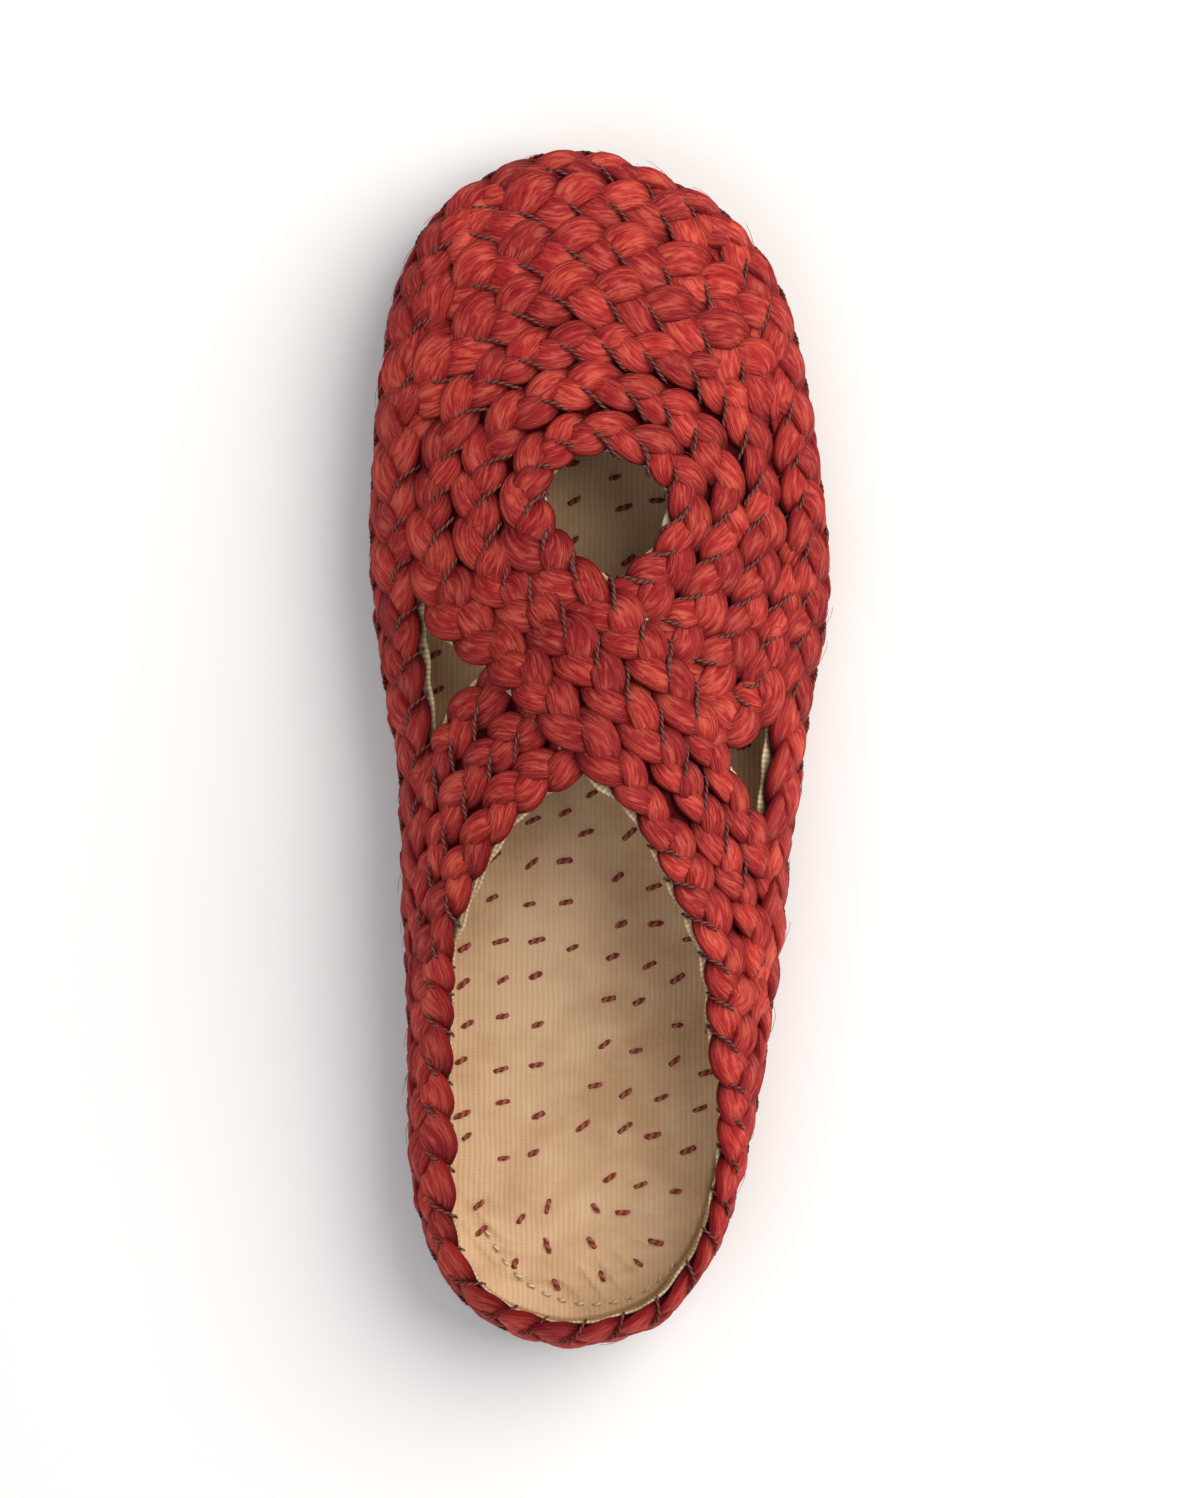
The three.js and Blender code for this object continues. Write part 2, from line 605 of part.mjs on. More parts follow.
function makeInsole(around) {
  const inset = WALL + TUCK + CLEARANCE;
  const rings = [INSOLE_THICKNESS, 0].map((height) => around.map((place) => {
    const r = outlineReach(place.origin, place.direction) - inset;
    const x = place.origin.x + place.direction.x * r;
    const y = place.origin.y + place.direction.y * r;
    return new THREE.Vector3(x, y, lift(y) + SOLE_THICKNESS + CLEARANCE + height);
  }));
  const count = around.length;
  const faces = [...ladder(around, 0, false), ...ladder(around, count, true)];
  for (let i = 0; i < count; i += 1) {
    const b = (i + 1) % count;
    faces.push([i, b, b + count], [i, b + count, i + count]);
  }
  return solid(rings.flat().flatMap((p) => [p.x, p.y, p.z]), faces);
}

function named(manifold, name, material) {
  const { vertProperties, triVerts } = manifold.getMesh();
  const geometry = new THREE.BufferGeometry();
  geometry.setAttribute('position', new THREE.Float32BufferAttribute(vertProperties, 3));
  geometry.setIndex(new THREE.Uint32BufferAttribute(triVerts, 1));
  geometry.computeVertexNormals();
  const mesh = new THREE.Mesh(geometry, material);
  mesh.name = name;
  return mesh;
}

const around = stationsAround(STATION);
const coarse = stationsAround(STATION * 1.3);
const welt = wallRow(around, () => 0, (place) => firstRow(place) - CLEARANCE / 2, true);

const group = new THREE.Group();
group.add(named(makeSole(coarse), 'outsole', MATERIALS.raffia));
group.add(named(makeInsole(coarse), 'insole', MATERIALS.canvas));
group.add(named(welt, 'welt_plait', MATERIALS.raffia));
group.add(named(makeUpper(around), 'upper', MATERIALS.raffia));

const box = new THREE.Box3().setFromObject(group);
group.position.set(-(box.min.x + box.max.x) / 2, -(box.min.y + box.max.y) / 2, -box.min.z);
group.updateMatrixWorld(true);

export default group;
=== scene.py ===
"""A right-foot mule plaited from dyed raffia, dressed round its solids.

Plaits of three strands are laid along the rows of the upper, the sole is a coil of thicker plaits,
and canvas, twine stitches and finishes are added. Sizes here are millimetres and shares of the named
sizes; only the last step turns them to metres.
"""

import math

import bpy
import numpy as np
from mathutils import Matrix, Vector


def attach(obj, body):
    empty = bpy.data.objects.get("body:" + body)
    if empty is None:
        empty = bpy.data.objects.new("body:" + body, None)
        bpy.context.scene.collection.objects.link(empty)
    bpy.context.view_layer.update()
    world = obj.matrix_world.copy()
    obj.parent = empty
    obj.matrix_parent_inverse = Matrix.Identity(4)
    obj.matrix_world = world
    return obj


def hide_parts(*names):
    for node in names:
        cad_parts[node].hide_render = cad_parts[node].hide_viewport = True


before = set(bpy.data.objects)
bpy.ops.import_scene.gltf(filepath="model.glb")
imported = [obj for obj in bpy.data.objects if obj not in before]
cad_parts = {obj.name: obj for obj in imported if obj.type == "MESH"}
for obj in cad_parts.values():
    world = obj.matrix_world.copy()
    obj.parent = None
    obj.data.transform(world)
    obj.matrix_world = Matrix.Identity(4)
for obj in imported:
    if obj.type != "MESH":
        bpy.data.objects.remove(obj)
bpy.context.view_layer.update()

MM = 0.001

# Sizes of the mule
LENGTH = 250
BALL_WIDTH = 97
INSTEP_HEIGHT = 51
SOLE_THICKNESS = 7.5
SOLE_INSET = 1.6
SOLE_PLAITS = 4
INSOLE_THICKNESS = 1.8
WALL = 4.9
SEAM = 3.0
WALL_ROW = 11.5
CAP_ROW = 10.4
STRAP_ROWS = 3
CAP_ROWS = 3
BULGE_HEIGHT = 8
TUCK = 1
TOE_SPRING = 5
HEEL_LIFT = 1.5
ARCH_LIFT = 1.5
CLEARANCE = 0.3
TUCKED = 2.5
TOE_CENTRE = 0.310
HEEL_CENTRE = -0.355
BOX_SHIFT = np.array([-0.12, 0.17, 0.0])  # the solids are centred on the middle of their box

# Sizes of what is sewn on
TWINE = 0.62  # thickness of the sewing twine
STITCH_HEIGHT = 1.05  # of a stitch above the middle of the wall
LINING = 0.5  # thickness of the canvas
RIB_PITCH = 1.1  # from one rib of the canvas to the next


def table(names, *rows):
    """Columns by name, sorted along the shoe."""
    columns = np.array(sorted(rows), dtype=float).T
    return dict(zip(names.split(), columns))


# Outline seen from above: along is a share of LENGTH, medial and lateral are shares of BALL_WIDTH
OUTLINE = table(
    "along medial lateral",
    (0.500, -0.066, -0.066), (0.452, -0.343, 0.260), (0.386, -0.440, 0.394), (0.319, -0.474, 0.445),
    (0.253, -0.492, 0.474), (0.186, -0.500, 0.497), (0.120, -0.492, 0.500), (0.053, -0.471, 0.471),
    (-0.013, -0.441, 0.445), (-0.080, -0.434, 0.418), (-0.146, -0.429, 0.403), (-0.213, -0.420, 0.380),
    (-0.279, -0.418, 0.357), (-0.346, -0.414, 0.320), (-0.412, -0.377, 0.269), (-0.446, -0.332, 0.214),
    (-0.479, -0.245, 0.134), (-0.500, -0.063, -0.063),
)

# Sections of the last: height is a share of INSTEP_HEIGHT, ridge of BALL_WIDTH
CROWN = table(
    "along height ridge power",
    (-0.500, 0.86, -0.050, 2.8), (-0.355, 0.71, -0.050, 2.8), (-0.250, 0.80, -0.045, 2.6),
    (-0.180, 0.89, -0.045, 2.4), (-0.110, 0.97, -0.045, 2.1), (-0.020, 1.00, -0.045, 1.8),
    (0.080, 0.93, -0.035, 1.7), (0.200, 0.85, -0.025, 1.8), (0.310, 0.78, -0.030, 2.1),
    (0.420, 0.70, -0.035, 2.3), (0.500, 0.60, -0.040, 2.3),
)

# Edge of the foot opening: length of wall up from the sole, shares of INSTEP_HEIGHT
COLLAR = table(
    "along medial lateral",
    (-0.500, 0.450, 0.450), (-0.445, 0.430, 0.400), (-0.375, 0.450, 0.405), (-0.342, 0.475, 0.420),
    (-0.309, 0.490, 0.460), (-0.276, 0.500, 0.530), (-0.243, 0.525, 0.615), (-0.210, 0.535, 0.670),
    (-0.176, 0.555, 0.735), (-0.143, 0.630, 0.830), (-0.110, 0.715, 0.930), (-0.078, 0.815, 1.020),
    (-0.045, 0.967, 1.140),
)

# The two straps' edges from the toe: place along the shoe and share of the way from ridge to sole.
# A share of None follows the edge of the foot opening.
STRAP_OVER = (
    (0.353, -0.010, 0.245, 0.005), (0.342, -0.240, 0.2415, -0.055), (0.310, -0.454, 0.233, -0.108),
    (0.264, -0.587, 0.224, -0.145), (0.208, -0.618, 0.212, -0.160), (0.155, -0.642, 0.182, -0.145),
    (0.100, -0.562, 0.154, -0.043), (0.065, -0.341, 0.133, 0.083), (0.022, -0.165, 0.100, 0.186),
    (-0.021, -0.003, 0.052, 0.312), (-0.061, None, 0.007, 0.435), (-0.110, None, -0.055, 0.603),
    (-0.143, None, -0.095, 0.715), (-0.176, None, -0.138, 0.800), (-0.210, None, -0.180, 0.870),
    (-0.243, None, -0.219, 0.917),
)
STRAP_UNDER = (
    (0.353, -0.040, 0.245, -0.025), (0.342, 0.266, 0.242, 0.085), (0.310, 0.489, 0.234, 0.155),
    (0.264, 0.611, 0.224, 0.210), (0.208, 0.640, 0.212, 0.242), (0.120, 0.645, 0.182, 0.231),
    (0.060, 0.643, 0.160, 0.180), (0.024, 0.640, 0.133, 0.083), (0.007, 0.435, 0.116, -0.040),
    (-0.008, 0.240, 0.094, -0.180), (-0.021, -0.003, 0.065, -0.341), (-0.045, None, 0.038, -0.480),
    (-0.078, None, 0.000, -0.630), (-0.110, None, -0.050, -0.740), (-0.143, None, -0.095, -0.830),
    (-0.176, None, -0.139, -0.930), (-0.210, None, -0.195, -0.985),
)
CROSSING_FROM = 0.43
CROSSING_TO = 0.69
CROSSING_EASE = 0.07
CROSSING_LIFT = 0.48  # share of WALL

rng = np.random.default_rng(37)


def smoothstep(value, low, high):
    share = np.clip((value - low) / (high - low), 0, 1)
    return share * share * (3 - 2 * share)


def look_up(columns, along, name):
    """A smooth curve through one column of a table."""
    x = columns["along"]
    y = columns[name]
    slope = np.gradient(y)
    slope[1:-1] = (y[2:] - y[:-2]) / (x[2:] - x[:-2])
    slope[0] = (y[1] - y[0]) / (x[1] - x[0])
    slope[-1] = (y[-1] - y[-2]) / (x[-1] - x[-2])
    place = np.clip(along, x[0], x[-1])
    i = np.clip(np.searchsorted(x, place, side="left") - 1, 0, len(x) - 2)
    span = x[i + 1] - x[i]
    t = (place - x[i]) / span
    start = (1 + 2 * t) * (1 - t) ** 2 * y[i] + t * (1 - t) ** 2 * span * slope[i]
    end = t * t * (3 - 2 * t) * y[i + 1] + t * t * (t - 1) * span * slope[i + 1]
    return start + end


def rounded(points, t, closed=False):
    """Centripetal curve through points, at shares t of the way."""
    p = np.asarray(points, dtype=float)
    count = len(p)
    place = t * (count if closed else count - 1)
    i = np.minimum(np.floor(place).astype(int), count - (1 if closed else 2))
    weight = (place - i)[:, None]
    if closed:
        p0, p1, p2, p3 = (p[(i + k) % count] for k in (-1, 0, 1, 2))
    else:
        p = np.vstack([2 * p[0] - p[1], p, 2 * p[-1] - p[-2]])
        p0, p1, p2, p3 = (p[i + k] for k in (0, 1, 2, 3))
    d0, d1, d2 = (
        np.sqrt(np.maximum(np.linalg.norm(b - a, axis=1), 1e-8))[:, None]
        for a, b in ((p0, p1), (p1, p2), (p2, p3))
    )
    leave = ((p1 - p0) / d0 - (p2 - p0) / (d0 + d1) + (p2 - p1) / d1) * d1
    arrive = ((p2 - p1) / d1 - (p3 - p1) / (d1 + d2) + (p3 - p2) / d2) * d1
    square = -3 * p1 + 3 * p2 - 2 * leave - arrive
    cube = 2 * p1 - 2 * p2 + leave + arrive
    return p1 + weight * (leave + weight * (square + weight * cube))


def outline_points():
    lateral = np.column_stack([OUTLINE["lateral"] * BALL_WIDTH, OUTLINE["along"] * LENGTH])[::-1]
    medial = np.column_stack([OUTLINE["medial"] * BALL_WIDTH, OUTLINE["along"] * LENGTH])[1:-1]
    points = rounded(np.vstack([lateral, medial]), np.linspace(0, 1, 341)[:-1], closed=True)
    return np.vstack([points, points[:1]])


def floor_lift(y):
    """Height of the sole's underside: toe spring, arch and heel."""
    ahead = np.maximum(y / LENGTH - 0.16, 0) / 0.34
    behind = np.maximum(-0.36 - y / LENGTH, 0) / 0.14
    waist = np.maximum(1 - np.abs(y / LENGTH + 0.09) / 0.14, 0)
    return TOE_SPRING * ahead**2 + HEEL_LIFT * behind**2 + ARCH_LIFT * smoothstep(waist, 0, 1)


class Last:
    """The surface in the middle of the upper's wall, laid out flat.

    A rib runs from the ridge out to the sole's edge: straight across in the middle, fanned round the toe
    and the heel. A place round the shoe is a number from 0 to 4: the medial side up to the toe, the toe,
    the lateral side back down and the heel. X and Y of the flat plan are true lengths along a rib.
    """

    SIDE_RIBS = 240
    FAN_RIBS = 150
    REACH = 80.0
    STEPS = 321

    def __init__(self):
        self.counts = (self.SIDE_RIBS, self.FAN_RIBS, self.SIDE_RIBS, self.FAN_RIBS)
        self.starts = np.concatenate([[0], np.cumsum(self.counts)])
        self.total = self.starts[-1]
        place = np.concatenate([k + np.arange(n) / n for k, n in enumerate(self.counts)])
        self.origin, self.direction = self.rib(place)
        self.reach = self.outline_reach(self.origin, self.direction)
        self.lay_out()

    def rib(self, place):
        heel, toe = HEEL_CENTRE * LENGTH, TOE_CENTRE * LENGTH
        part = np.floor(place).astype(int) % 4
        share = place - np.floor(place)
        y = np.select([part == 0, part == 1, part == 2], [heel + (toe - heel) * share, toe, toe + (heel - toe) * share], heel)
        turn = np.select([part == 0, part == 1, part == 2], [-90.0, -90 + 180 * share, 90.0], 90 + 180 * share)
        turn = np.radians(turn)
        x = look_up(CROWN, y / LENGTH, "ridge") * BALL_WIDTH
        return np.column_stack([x, y]), np.column_stack([np.sin(turn), np.cos(turn)])

    def outline_reach(self, origin, direction):
        edge = outline_points()
        start, step = edge[:-1], np.diff(edge, axis=0)
        a = start[None] - origin[:, None]
        turn = direction[:, None, 0] * step[None, :, 1] - direction[:, None, 1] * step[None, :, 0]
        turn = np.where(np.abs(turn) < 1e-12, 1e-12, turn)
        distance = (a[..., 0] * step[None, :, 1] - a[..., 1] * step[None, :, 0]) / turn
        share = (a[..., 0] * direction[:, None, 1] - a[..., 1] * direction[:, None, 0]) / turn
        distance = np.where((share >= -1e-9) & (share <= 1 + 1e-9), distance, 0)
        return distance.max(axis=1)

    def lay_out(self):
        reach = self.reach - WALL / 2
        slope = math.atan2(2 * TUCK, BULGE_HEIGHT)
        lower_edge = SOLE_THICKNESS + CLEARANCE + (SEAM - WALL / 2) * math.sin(slope)
        share = np.sin(np.linspace(0, math.pi / 2, 61))
        below = np.linspace(0, 1, 9)[1:]
        r = np.hstack([reach[:, None] * share, reach[:, None] - TUCK * below**2])
        y = self.origin[:, 1:] + self.direction[:, 1:] * r
        power = look_up(CROWN, y[:, :61] / LENGTH, "power")
        dome = np.maximum(1 - share**power, 0) ** (1 / power)
        widest = floor_lift(y) + lower_edge + BULGE_HEIGHT
        top = look_up(CROWN, y / LENGTH, "height") * INSTEP_HEIGHT - WALL / 2
        height = np.hstack([dome, np.broadcast_to(-below, (len(r), len(below)))])
        z = np.where(height >= 0, widest + (top - widest) * height, widest + BULGE_HEIGHT * height)
        s = np.hstack([np.zeros((len(r), 1)), np.cumsum(np.hypot(np.diff(r), np.diff(z)), axis=1)])
        self.length = s[:, -1]
        beyond = 12.0
        grow = lambda v: v[:, -1:] + (v[:, -1:] - v[:, -2:-1]) / (s[:, -1:] - s[:, -2:-1]) * beyond
        r, z, s = np.hstack([r, grow(r)]), np.hstack([z, grow(z)]), np.hstack([s, s[:, -1:] + beyond])
        ruler = np.linspace(0, self.REACH, self.STEPS)
        self.r = np.array([np.interp(ruler, s[i], r[i]) for i in range(self.total)])
        self.z = np.array([np.interp(ruler, s[i], z[i]) for i in range(self.total)])

    def at(self, values, place):
        """A value kept for each rib, at any place round the shoe."""
        part = np.floor(place).astype(int) % 4
        index = self.starts[part] + (place - np.floor(place)) * np.array(self.counts)[part]
        low = np.floor(index).astype(int)
        share = index - low
        return values[low % self.total] * (1 - share) + values[(low + 1) % self.total] * share

    def place_of(self, plan):
        heel, toe = HEEL_CENTRE * LENGTH, TOE_CENTRE * LENGTH
        y = np.clip(plan[:, 1], heel, toe)
        x = look_up(CROWN, y / LENGTH, "ridge") * BALL_WIDTH
        dx, dy = plan[:, 0] - x, plan[:, 1] - y
        s = np.hypot(dx, dy)
        angle = np.degrees(np.arctan2(dx, dy)) % 360
        up_side = (y - heel) / (toe - heel)
        place = np.select(
            [(np.abs(dy) < 1e-9) & (dx < 0), np.abs(dy) < 1e-9, dy > 0],
            [np.minimum(up_side, 0.999999), 2 + np.minimum(1 - up_side, 0.999999), 1 + ((angle + 90) % 360) / 180],
            3 + (angle - 90) / 180,
        )
        return np.minimum(place, 3.999999), s

    def up(self, plan):
        """Length of wall between the sole and a point."""
        place, s = self.place_of(plan)
        return self.at(self.length, place) - s

    def plan(self, place, up):
        """Flat plan point a length of wall above the sole."""
        origin, direction = self.rib(place)
        return origin + direction * (self.at(self.length, place) - up)[:, None]

    def middle(self, plan):
        place, s = self.place_of(plan)
        origin, direction = self.rib(place)
        part = np.floor(place).astype(int) % 4
        index = self.starts[part] + (place - np.floor(place)) * np.array(self.counts)[part]
        low = np.floor(index).astype(int)
        share = index - low
        column = np.clip(s / self.REACH, 0, 1) * (self.STEPS - 1)
        left = np.minimum(np.floor(column).astype(int), self.STEPS - 2)
        t = column - left
        read = lambda grid, row: grid[row, left] * (1 - t) + grid[row, left + 1] * t
        mix = lambda grid: read(grid, low % self.total) * (1 - share) + read(grid, (low + 1) % self.total) * share
        return np.column_stack([origin + direction * mix(self.r)[:, None], mix(self.z)])

    def surface(self, plan, height):
        """Points a height outward from the middle of the wall, with the outward direction there."""
        step = 0.9
        across = self.middle(plan + [step, 0]) - self.middle(plan - [step, 0])
        along = self.middle(plan + [0, step]) - self.middle(plan - [0, step])
        normal = unit(np.cross(across, along))
        return self.middle(plan) + normal * np.asarray(height).reshape(-1, 1), normal


def unit(vectors):
    return vectors / np.maximum(np.linalg.norm(vectors, axis=1, keepdims=True), 1e-9)


last = Last()


# Heights of the rows' edges up the wall

def turn_at(place):
    _, direction = last.rib(place)
    return direction


def collar_up(place):
    origin, direction = last.rib(place)
    fanned = np.minimum(direction[:, 1], 0) * (HEEL_CENTRE + 0.5)
    along = origin[:, 1] / LENGTH + fanned
    lateral = look_up(COLLAR, along, "lateral")
    medial = look_up(COLLAR, along, "medial")
    return np.where(direction[:, 0] > 0, lateral, medial) * INSTEP_HEIGHT


def first_row(place):
    return WALL_ROW * (1 - 0.31 * np.maximum(turn_at(place)[:, 1], 0) ** 2)


def rim_up(place):
    first = first_row(place)
    return np.minimum(2 * first, np.maximum(collar_up(place) - WALL_ROW, first))


def unrolled(along, across):
    x = look_up(CROWN, np.array([along]), "ridge")[0] * BALL_WIDTH
    y = along * LENGTH
    side = np.array([[x + math.copysign(1.0, across), y]])
    place, _ = last.place_of(side)
    return np.array([x + across * last.at(last.length, place)[0], y])


def collar_point(along, lateral):
    heel, toe = HEEL_CENTRE, TOE_CENTRE
    share = (along - heel) / (toe - heel)
    place = np.array([3 - share if lateral else share])
    return last.plan(place, collar_up(place))[0]


def strap_edges(rows, lateral):
    out = [collar_point(row[0], lateral) if row[1] is None else unrolled(row[0], row[1]) for row in rows]
    inner = [unrolled(row[2], row[3]) for row in rows]
    return np.array(out), np.array(inner)


def strap_row(edges, row, start, end, count=500, extra=None):
    """Middle line and width of one row of a strap, between two shares of the strap's length.

    extra gives, for those shares, how much of a fourth row has come in at the outer edge.
    """
    t = np.linspace(start, end, count)
    more = 0 * t if extra is None else extra(t)
    out, inner = rounded(edges[0], t), rounded(edges[1], t)
    rows = STRAP_ROWS + more
    width = np.linalg.norm(inner - out, axis=1) / rows
    return out + (inner - out) * ((row + more + 0.5) / rows)[:, None], np.clip(width, 6.5, 13.0), t


# Meshes

def make_piece(name, points, faces, material, fibre=None, tone=None, smooth=True):
    """One object from arrays: points in millimetres, faces as rows of three or four corners."""
    points = (np.asarray(points) + BOX_SHIFT) * MM
    faces = [np.asarray(f, dtype=np.int32) for f in faces if len(f)]
    mesh = bpy.data.meshes.new(name)
    mesh.vertices.add(len(points))
    mesh.vertices.foreach_set("co", points.astype(np.float32).ravel())
    sizes = np.concatenate([np.full(len(f), f.shape[1]) for f in faces])
    corners = np.concatenate([f.ravel() for f in faces])
    mesh.loops.add(len(corners))
    mesh.loops.foreach_set("vertex_index", corners)
    mesh.polygons.add(len(sizes))
    mesh.polygons.foreach_set("loop_start", np.concatenate([[0], np.cumsum(sizes)[:-1]]).astype(np.int32))
    mesh.polygons.foreach_set("use_smooth", np.full(len(sizes), smooth))
    for label, values in (("fibre", fibre), ("tone", tone)):
        if values is not None:
            layer = mesh.attributes.new(label, "FLOAT_VECTOR", "POINT")
            layer.data.foreach_set("vector", np.asarray(values, dtype=np.float32).ravel())
    mesh.update(calc_edges=True)
    mesh.validate()
    mesh.materials.append(material)
    piece = bpy.data.objects.new(name, mesh)
    bpy.context.scene.collection.objects.link(piece)
    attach(piece, "root")
    return piece


class Bundle:
    """Collects tubes and sheets that make one piece."""

    def __init__(self):
        self.points, self.quads, self.tris = [], [], []
        self.fibre, self.tone = [], []
        self.count = 0

    def add(self, points, quads, tris=(), fibre=None, tone=None):
        self.points.append(points)
        self.quads.append(np.asarray(quads, dtype=np.int64).reshape(-1, 4) + self.count)
        self.tris.append(np.asarray(tris, dtype=np.int64).reshape(-1, 3) + self.count)
        self.fibre.append(np.zeros((len(points), 3)) if fibre is None else fibre)
        self.tone.append(np.zeros((len(points), 3)) if tone is None else tone)
        self.count += len(points)

    def make(self, name, material, slot):
        return make_piece(
            name, np.vstack(self.points), [np.vstack(self.quads), np.vstack(self.tris)], material,
            np.vstack(self.fibre), np.vstack(self.tone),
        )


def tube_faces(rings, sides, closed):
    i = np.arange(rings if closed else rings - 1)[:, None]
    j = np.arange(sides)[None]
    near, far = i * sides, ((i + 1) % rings) * sides
    corners = [near + j, near + (j + 1) % sides, far + (j + 1) % sides, far + j]
    quads = np.stack(corners, axis=-1).reshape(-1, 4)
    tris = []
    if not closed:
        k = np.arange(1, sides - 1)
        end = (rings - 1) * sides
        tris = np.vstack([
            np.column_stack([np.zeros_like(k), k + 1, k]),
            np.column_stack([np.full_like(k, end), end + k, end + k + 1]),
        ])
    return quads, tris


def even_path(plan, *values, spacing=1.0, closed=False, blur=0):
    """Plan points at even steps of true length, with values carried along."""
    if closed:
        plan = np.vstack([plan, plan[:1]])
        values = [np.append(v, v[:1]) for v in values]
    for _ in range(blur):
        plan = np.vstack([plan[:1], (plan[:-2] + 2 * plan[1:-1] + plan[2:]) / 4, plan[-1:]])
    points = last.middle(plan)
    run = np.concatenate([[0], np.cumsum(np.linalg.norm(np.diff(points, axis=0), axis=1))])
    count = max(int(round(run[-1] / spacing)), 8)
    ruler = np.linspace(0, run[-1], count + 1)[: count if closed else count + 1]
    even = np.column_stack([np.interp(ruler, run, plan[:, 0]), np.interp(ruler, run, plan[:, 1])])
    return even, run[-1], ruler, [np.interp(ruler, run, v) for v in values]


# Section of one strand, dense over the side that shows: angle in degrees from the strand's left edge
STRAND_ANGLES = np.radians([-150, -100, -50, -20, -4, 8, 20, 32, 44, 56, 68, 80, 92, 104, 116, 128, 140, 152, 166, 184])

# One leaf of a plait, from the turn at the plait's edge (0) past its middle (0.5) to the next turn (1).
# wide and thick are shares of the fullest strand, shade is painted shadow, deepest where it goes under
LEAF = table(
    "along wide thick shade",
    (-0.18, 0.52, 0.66, 0.95), (-0.08, 0.70, 0.84, 0.70), (0.00, 0.88, 0.97, 0.38), (0.10, 1.00, 1.02, 0.12),
    (0.22, 1.04, 1.00, 0.00), (0.34, 1.03, 0.96, 0.04), (0.44, 0.94, 0.86, 0.20), (0.54, 0.74, 0.70, 0.58),
    (0.64, 0.55, 0.57, 0.92), (0.74, 0.48, 0.56, 1.00), (0.82, 0.52, 0.66, 0.95), (0.92, 0.70, 0.84, 0.70),
    (1.00, 0.88, 0.97, 0.38), (1.10, 1.00, 1.02, 0.12),
)


RISE = 0.15  # how far a strand climbs over the others and dips under them, share of the thickness
THICK = 0.24  # half of a strand's thickness, share of the plait's


DEEPEST = -1.2  # a strand's middle stays above the canvas


def wall_surface(plan, height, behind_rim):
    """Where a strand lies on the last; the ends of short rows sink in behind the rim."""
    if behind_rim:
        place, s = last.place_of(plan)
        up = last.at(last.length, place) - s
        sunk = smoothstep(rim_up(place) + 1.5 - up, 0, 4.0)
        height = height - 0.7 * sunk
    return last.surface(plan, np.maximum(height, DEEPEST))


def sole_surface(plan, height, _):
    """Where a strand of the sole lies: plan is real here, height is above the sole's underside."""
    z = floor_lift(plan[:, 1]) + np.maximum(height, 0.0)
    normal = np.tile([0.0, 0.0, 1.0], (len(plan), 1))
    return np.column_stack([plan, z]), normal


def plait(bundle, path, width, period, lift=0.0, closed=False, behind_rim=False, tilt=0.0, outward=1,
          thickness=WALL, surface=wall_surface, taper=True):
    """Three strands laid over and under each other along a path.

    The points of the leaves lead the way along the path. outward is +1 where the sole's side of the
    row is on the left of the path, and tilt lifts that side, so that rows lap like shingles.
    """
    plan, length, run, (width, lift) = path_values(path, width, lift, closed, surface)
    turns = max(round(length / period), 1) if closed else length / period
    plaited = run + 0.9 * wander(run, length, closed)
    width = width * (1 + 0.045 * wander(run, length, closed))
    ahead = np.roll(plan, -1, axis=0) - np.roll(plan, 1, axis=0) if closed else np.gradient(plan, axis=0)
    left = unit(np.column_stack([-ahead[:, 1], ahead[:, 0]]))
    plan = plan + left * (0.3 * wander(run, length, closed))[:, None]
    swing = 0.5 * width - 2.35
    rise = thickness * RISE
    ease = np.ones(len(plan)) if closed or not taper else smoothstep(np.minimum(run, length - run), 0, 7)
    for strand in range(3):
        phase = 2 * math.pi * (plaited / length * turns + strand / 3)
        place = (phase / math.pi - 0.5) % 1.0
        leaf = np.floor(phase / math.pi - 0.5 + 0.18).astype(int)
        leaf = leaf % (2 * turns) if closed else leaf - leaf.min()
        own = rng.random((leaf.max() + 1, 5))[leaf]
        bent = (own[:, 4] - 0.5) * np.sin(math.pi * np.clip((place + 0.18) % 1.0, 0, 1)) ** 2
        offset = (swing * np.sin(phase) + 0.9 * bent) * (0.75 + 0.25 * ease)
        height = rise * np.sin(2 * math.pi * place) + 0.42 * (own[:, 1] - 0.5) * np.sin(math.pi * ((place + 0.18) % 1.0))
        height = height + tilt * outward * offset + lift - 0.5 * (1 - ease)
        spine, normal = surface(plan + left * offset[:, None], height, behind_rim)
        if closed:
            tangent = unit(np.roll(spine, -1, axis=0) - np.roll(spine, 1, axis=0))
        else:
            tangent = unit(np.gradient(spine, axis=0))
        across = unit(np.cross(tangent, normal))
        out = np.cross(across, tangent)
        full = (0.88 + 0.20 * own[:, 0]) * (0.45 + 0.55 * ease)
        wide = 0.335 * width * look_up(LEAF, place, "wide") * full
        thick = thickness * THICK * look_up(LEAF, place, "thick") * full
        points = strand_section(spine, across, out, wide, thick, own)
        add_strand(bundle, points, spine, own, look_up(LEAF, place, "shade"), closed, strand, place)
        if surface is wall_surface:
            loosen_fibres(points, out, own, place, None)
    return plan, left, length, turns, run, width, swing, lift, plaited


def wander(run, length, closed):
    """Slow random drift along a row, within about 1 either way; it closes on itself on a ring."""
    total = 0 * run
    for wave in (26.0, 43.0, 71.0):
        waves = max(round(length / wave), 1) if closed else length / wave
        total = total + 0.55 * np.sin(2 * math.pi * (waves * run / length + rng.random()))
    return total


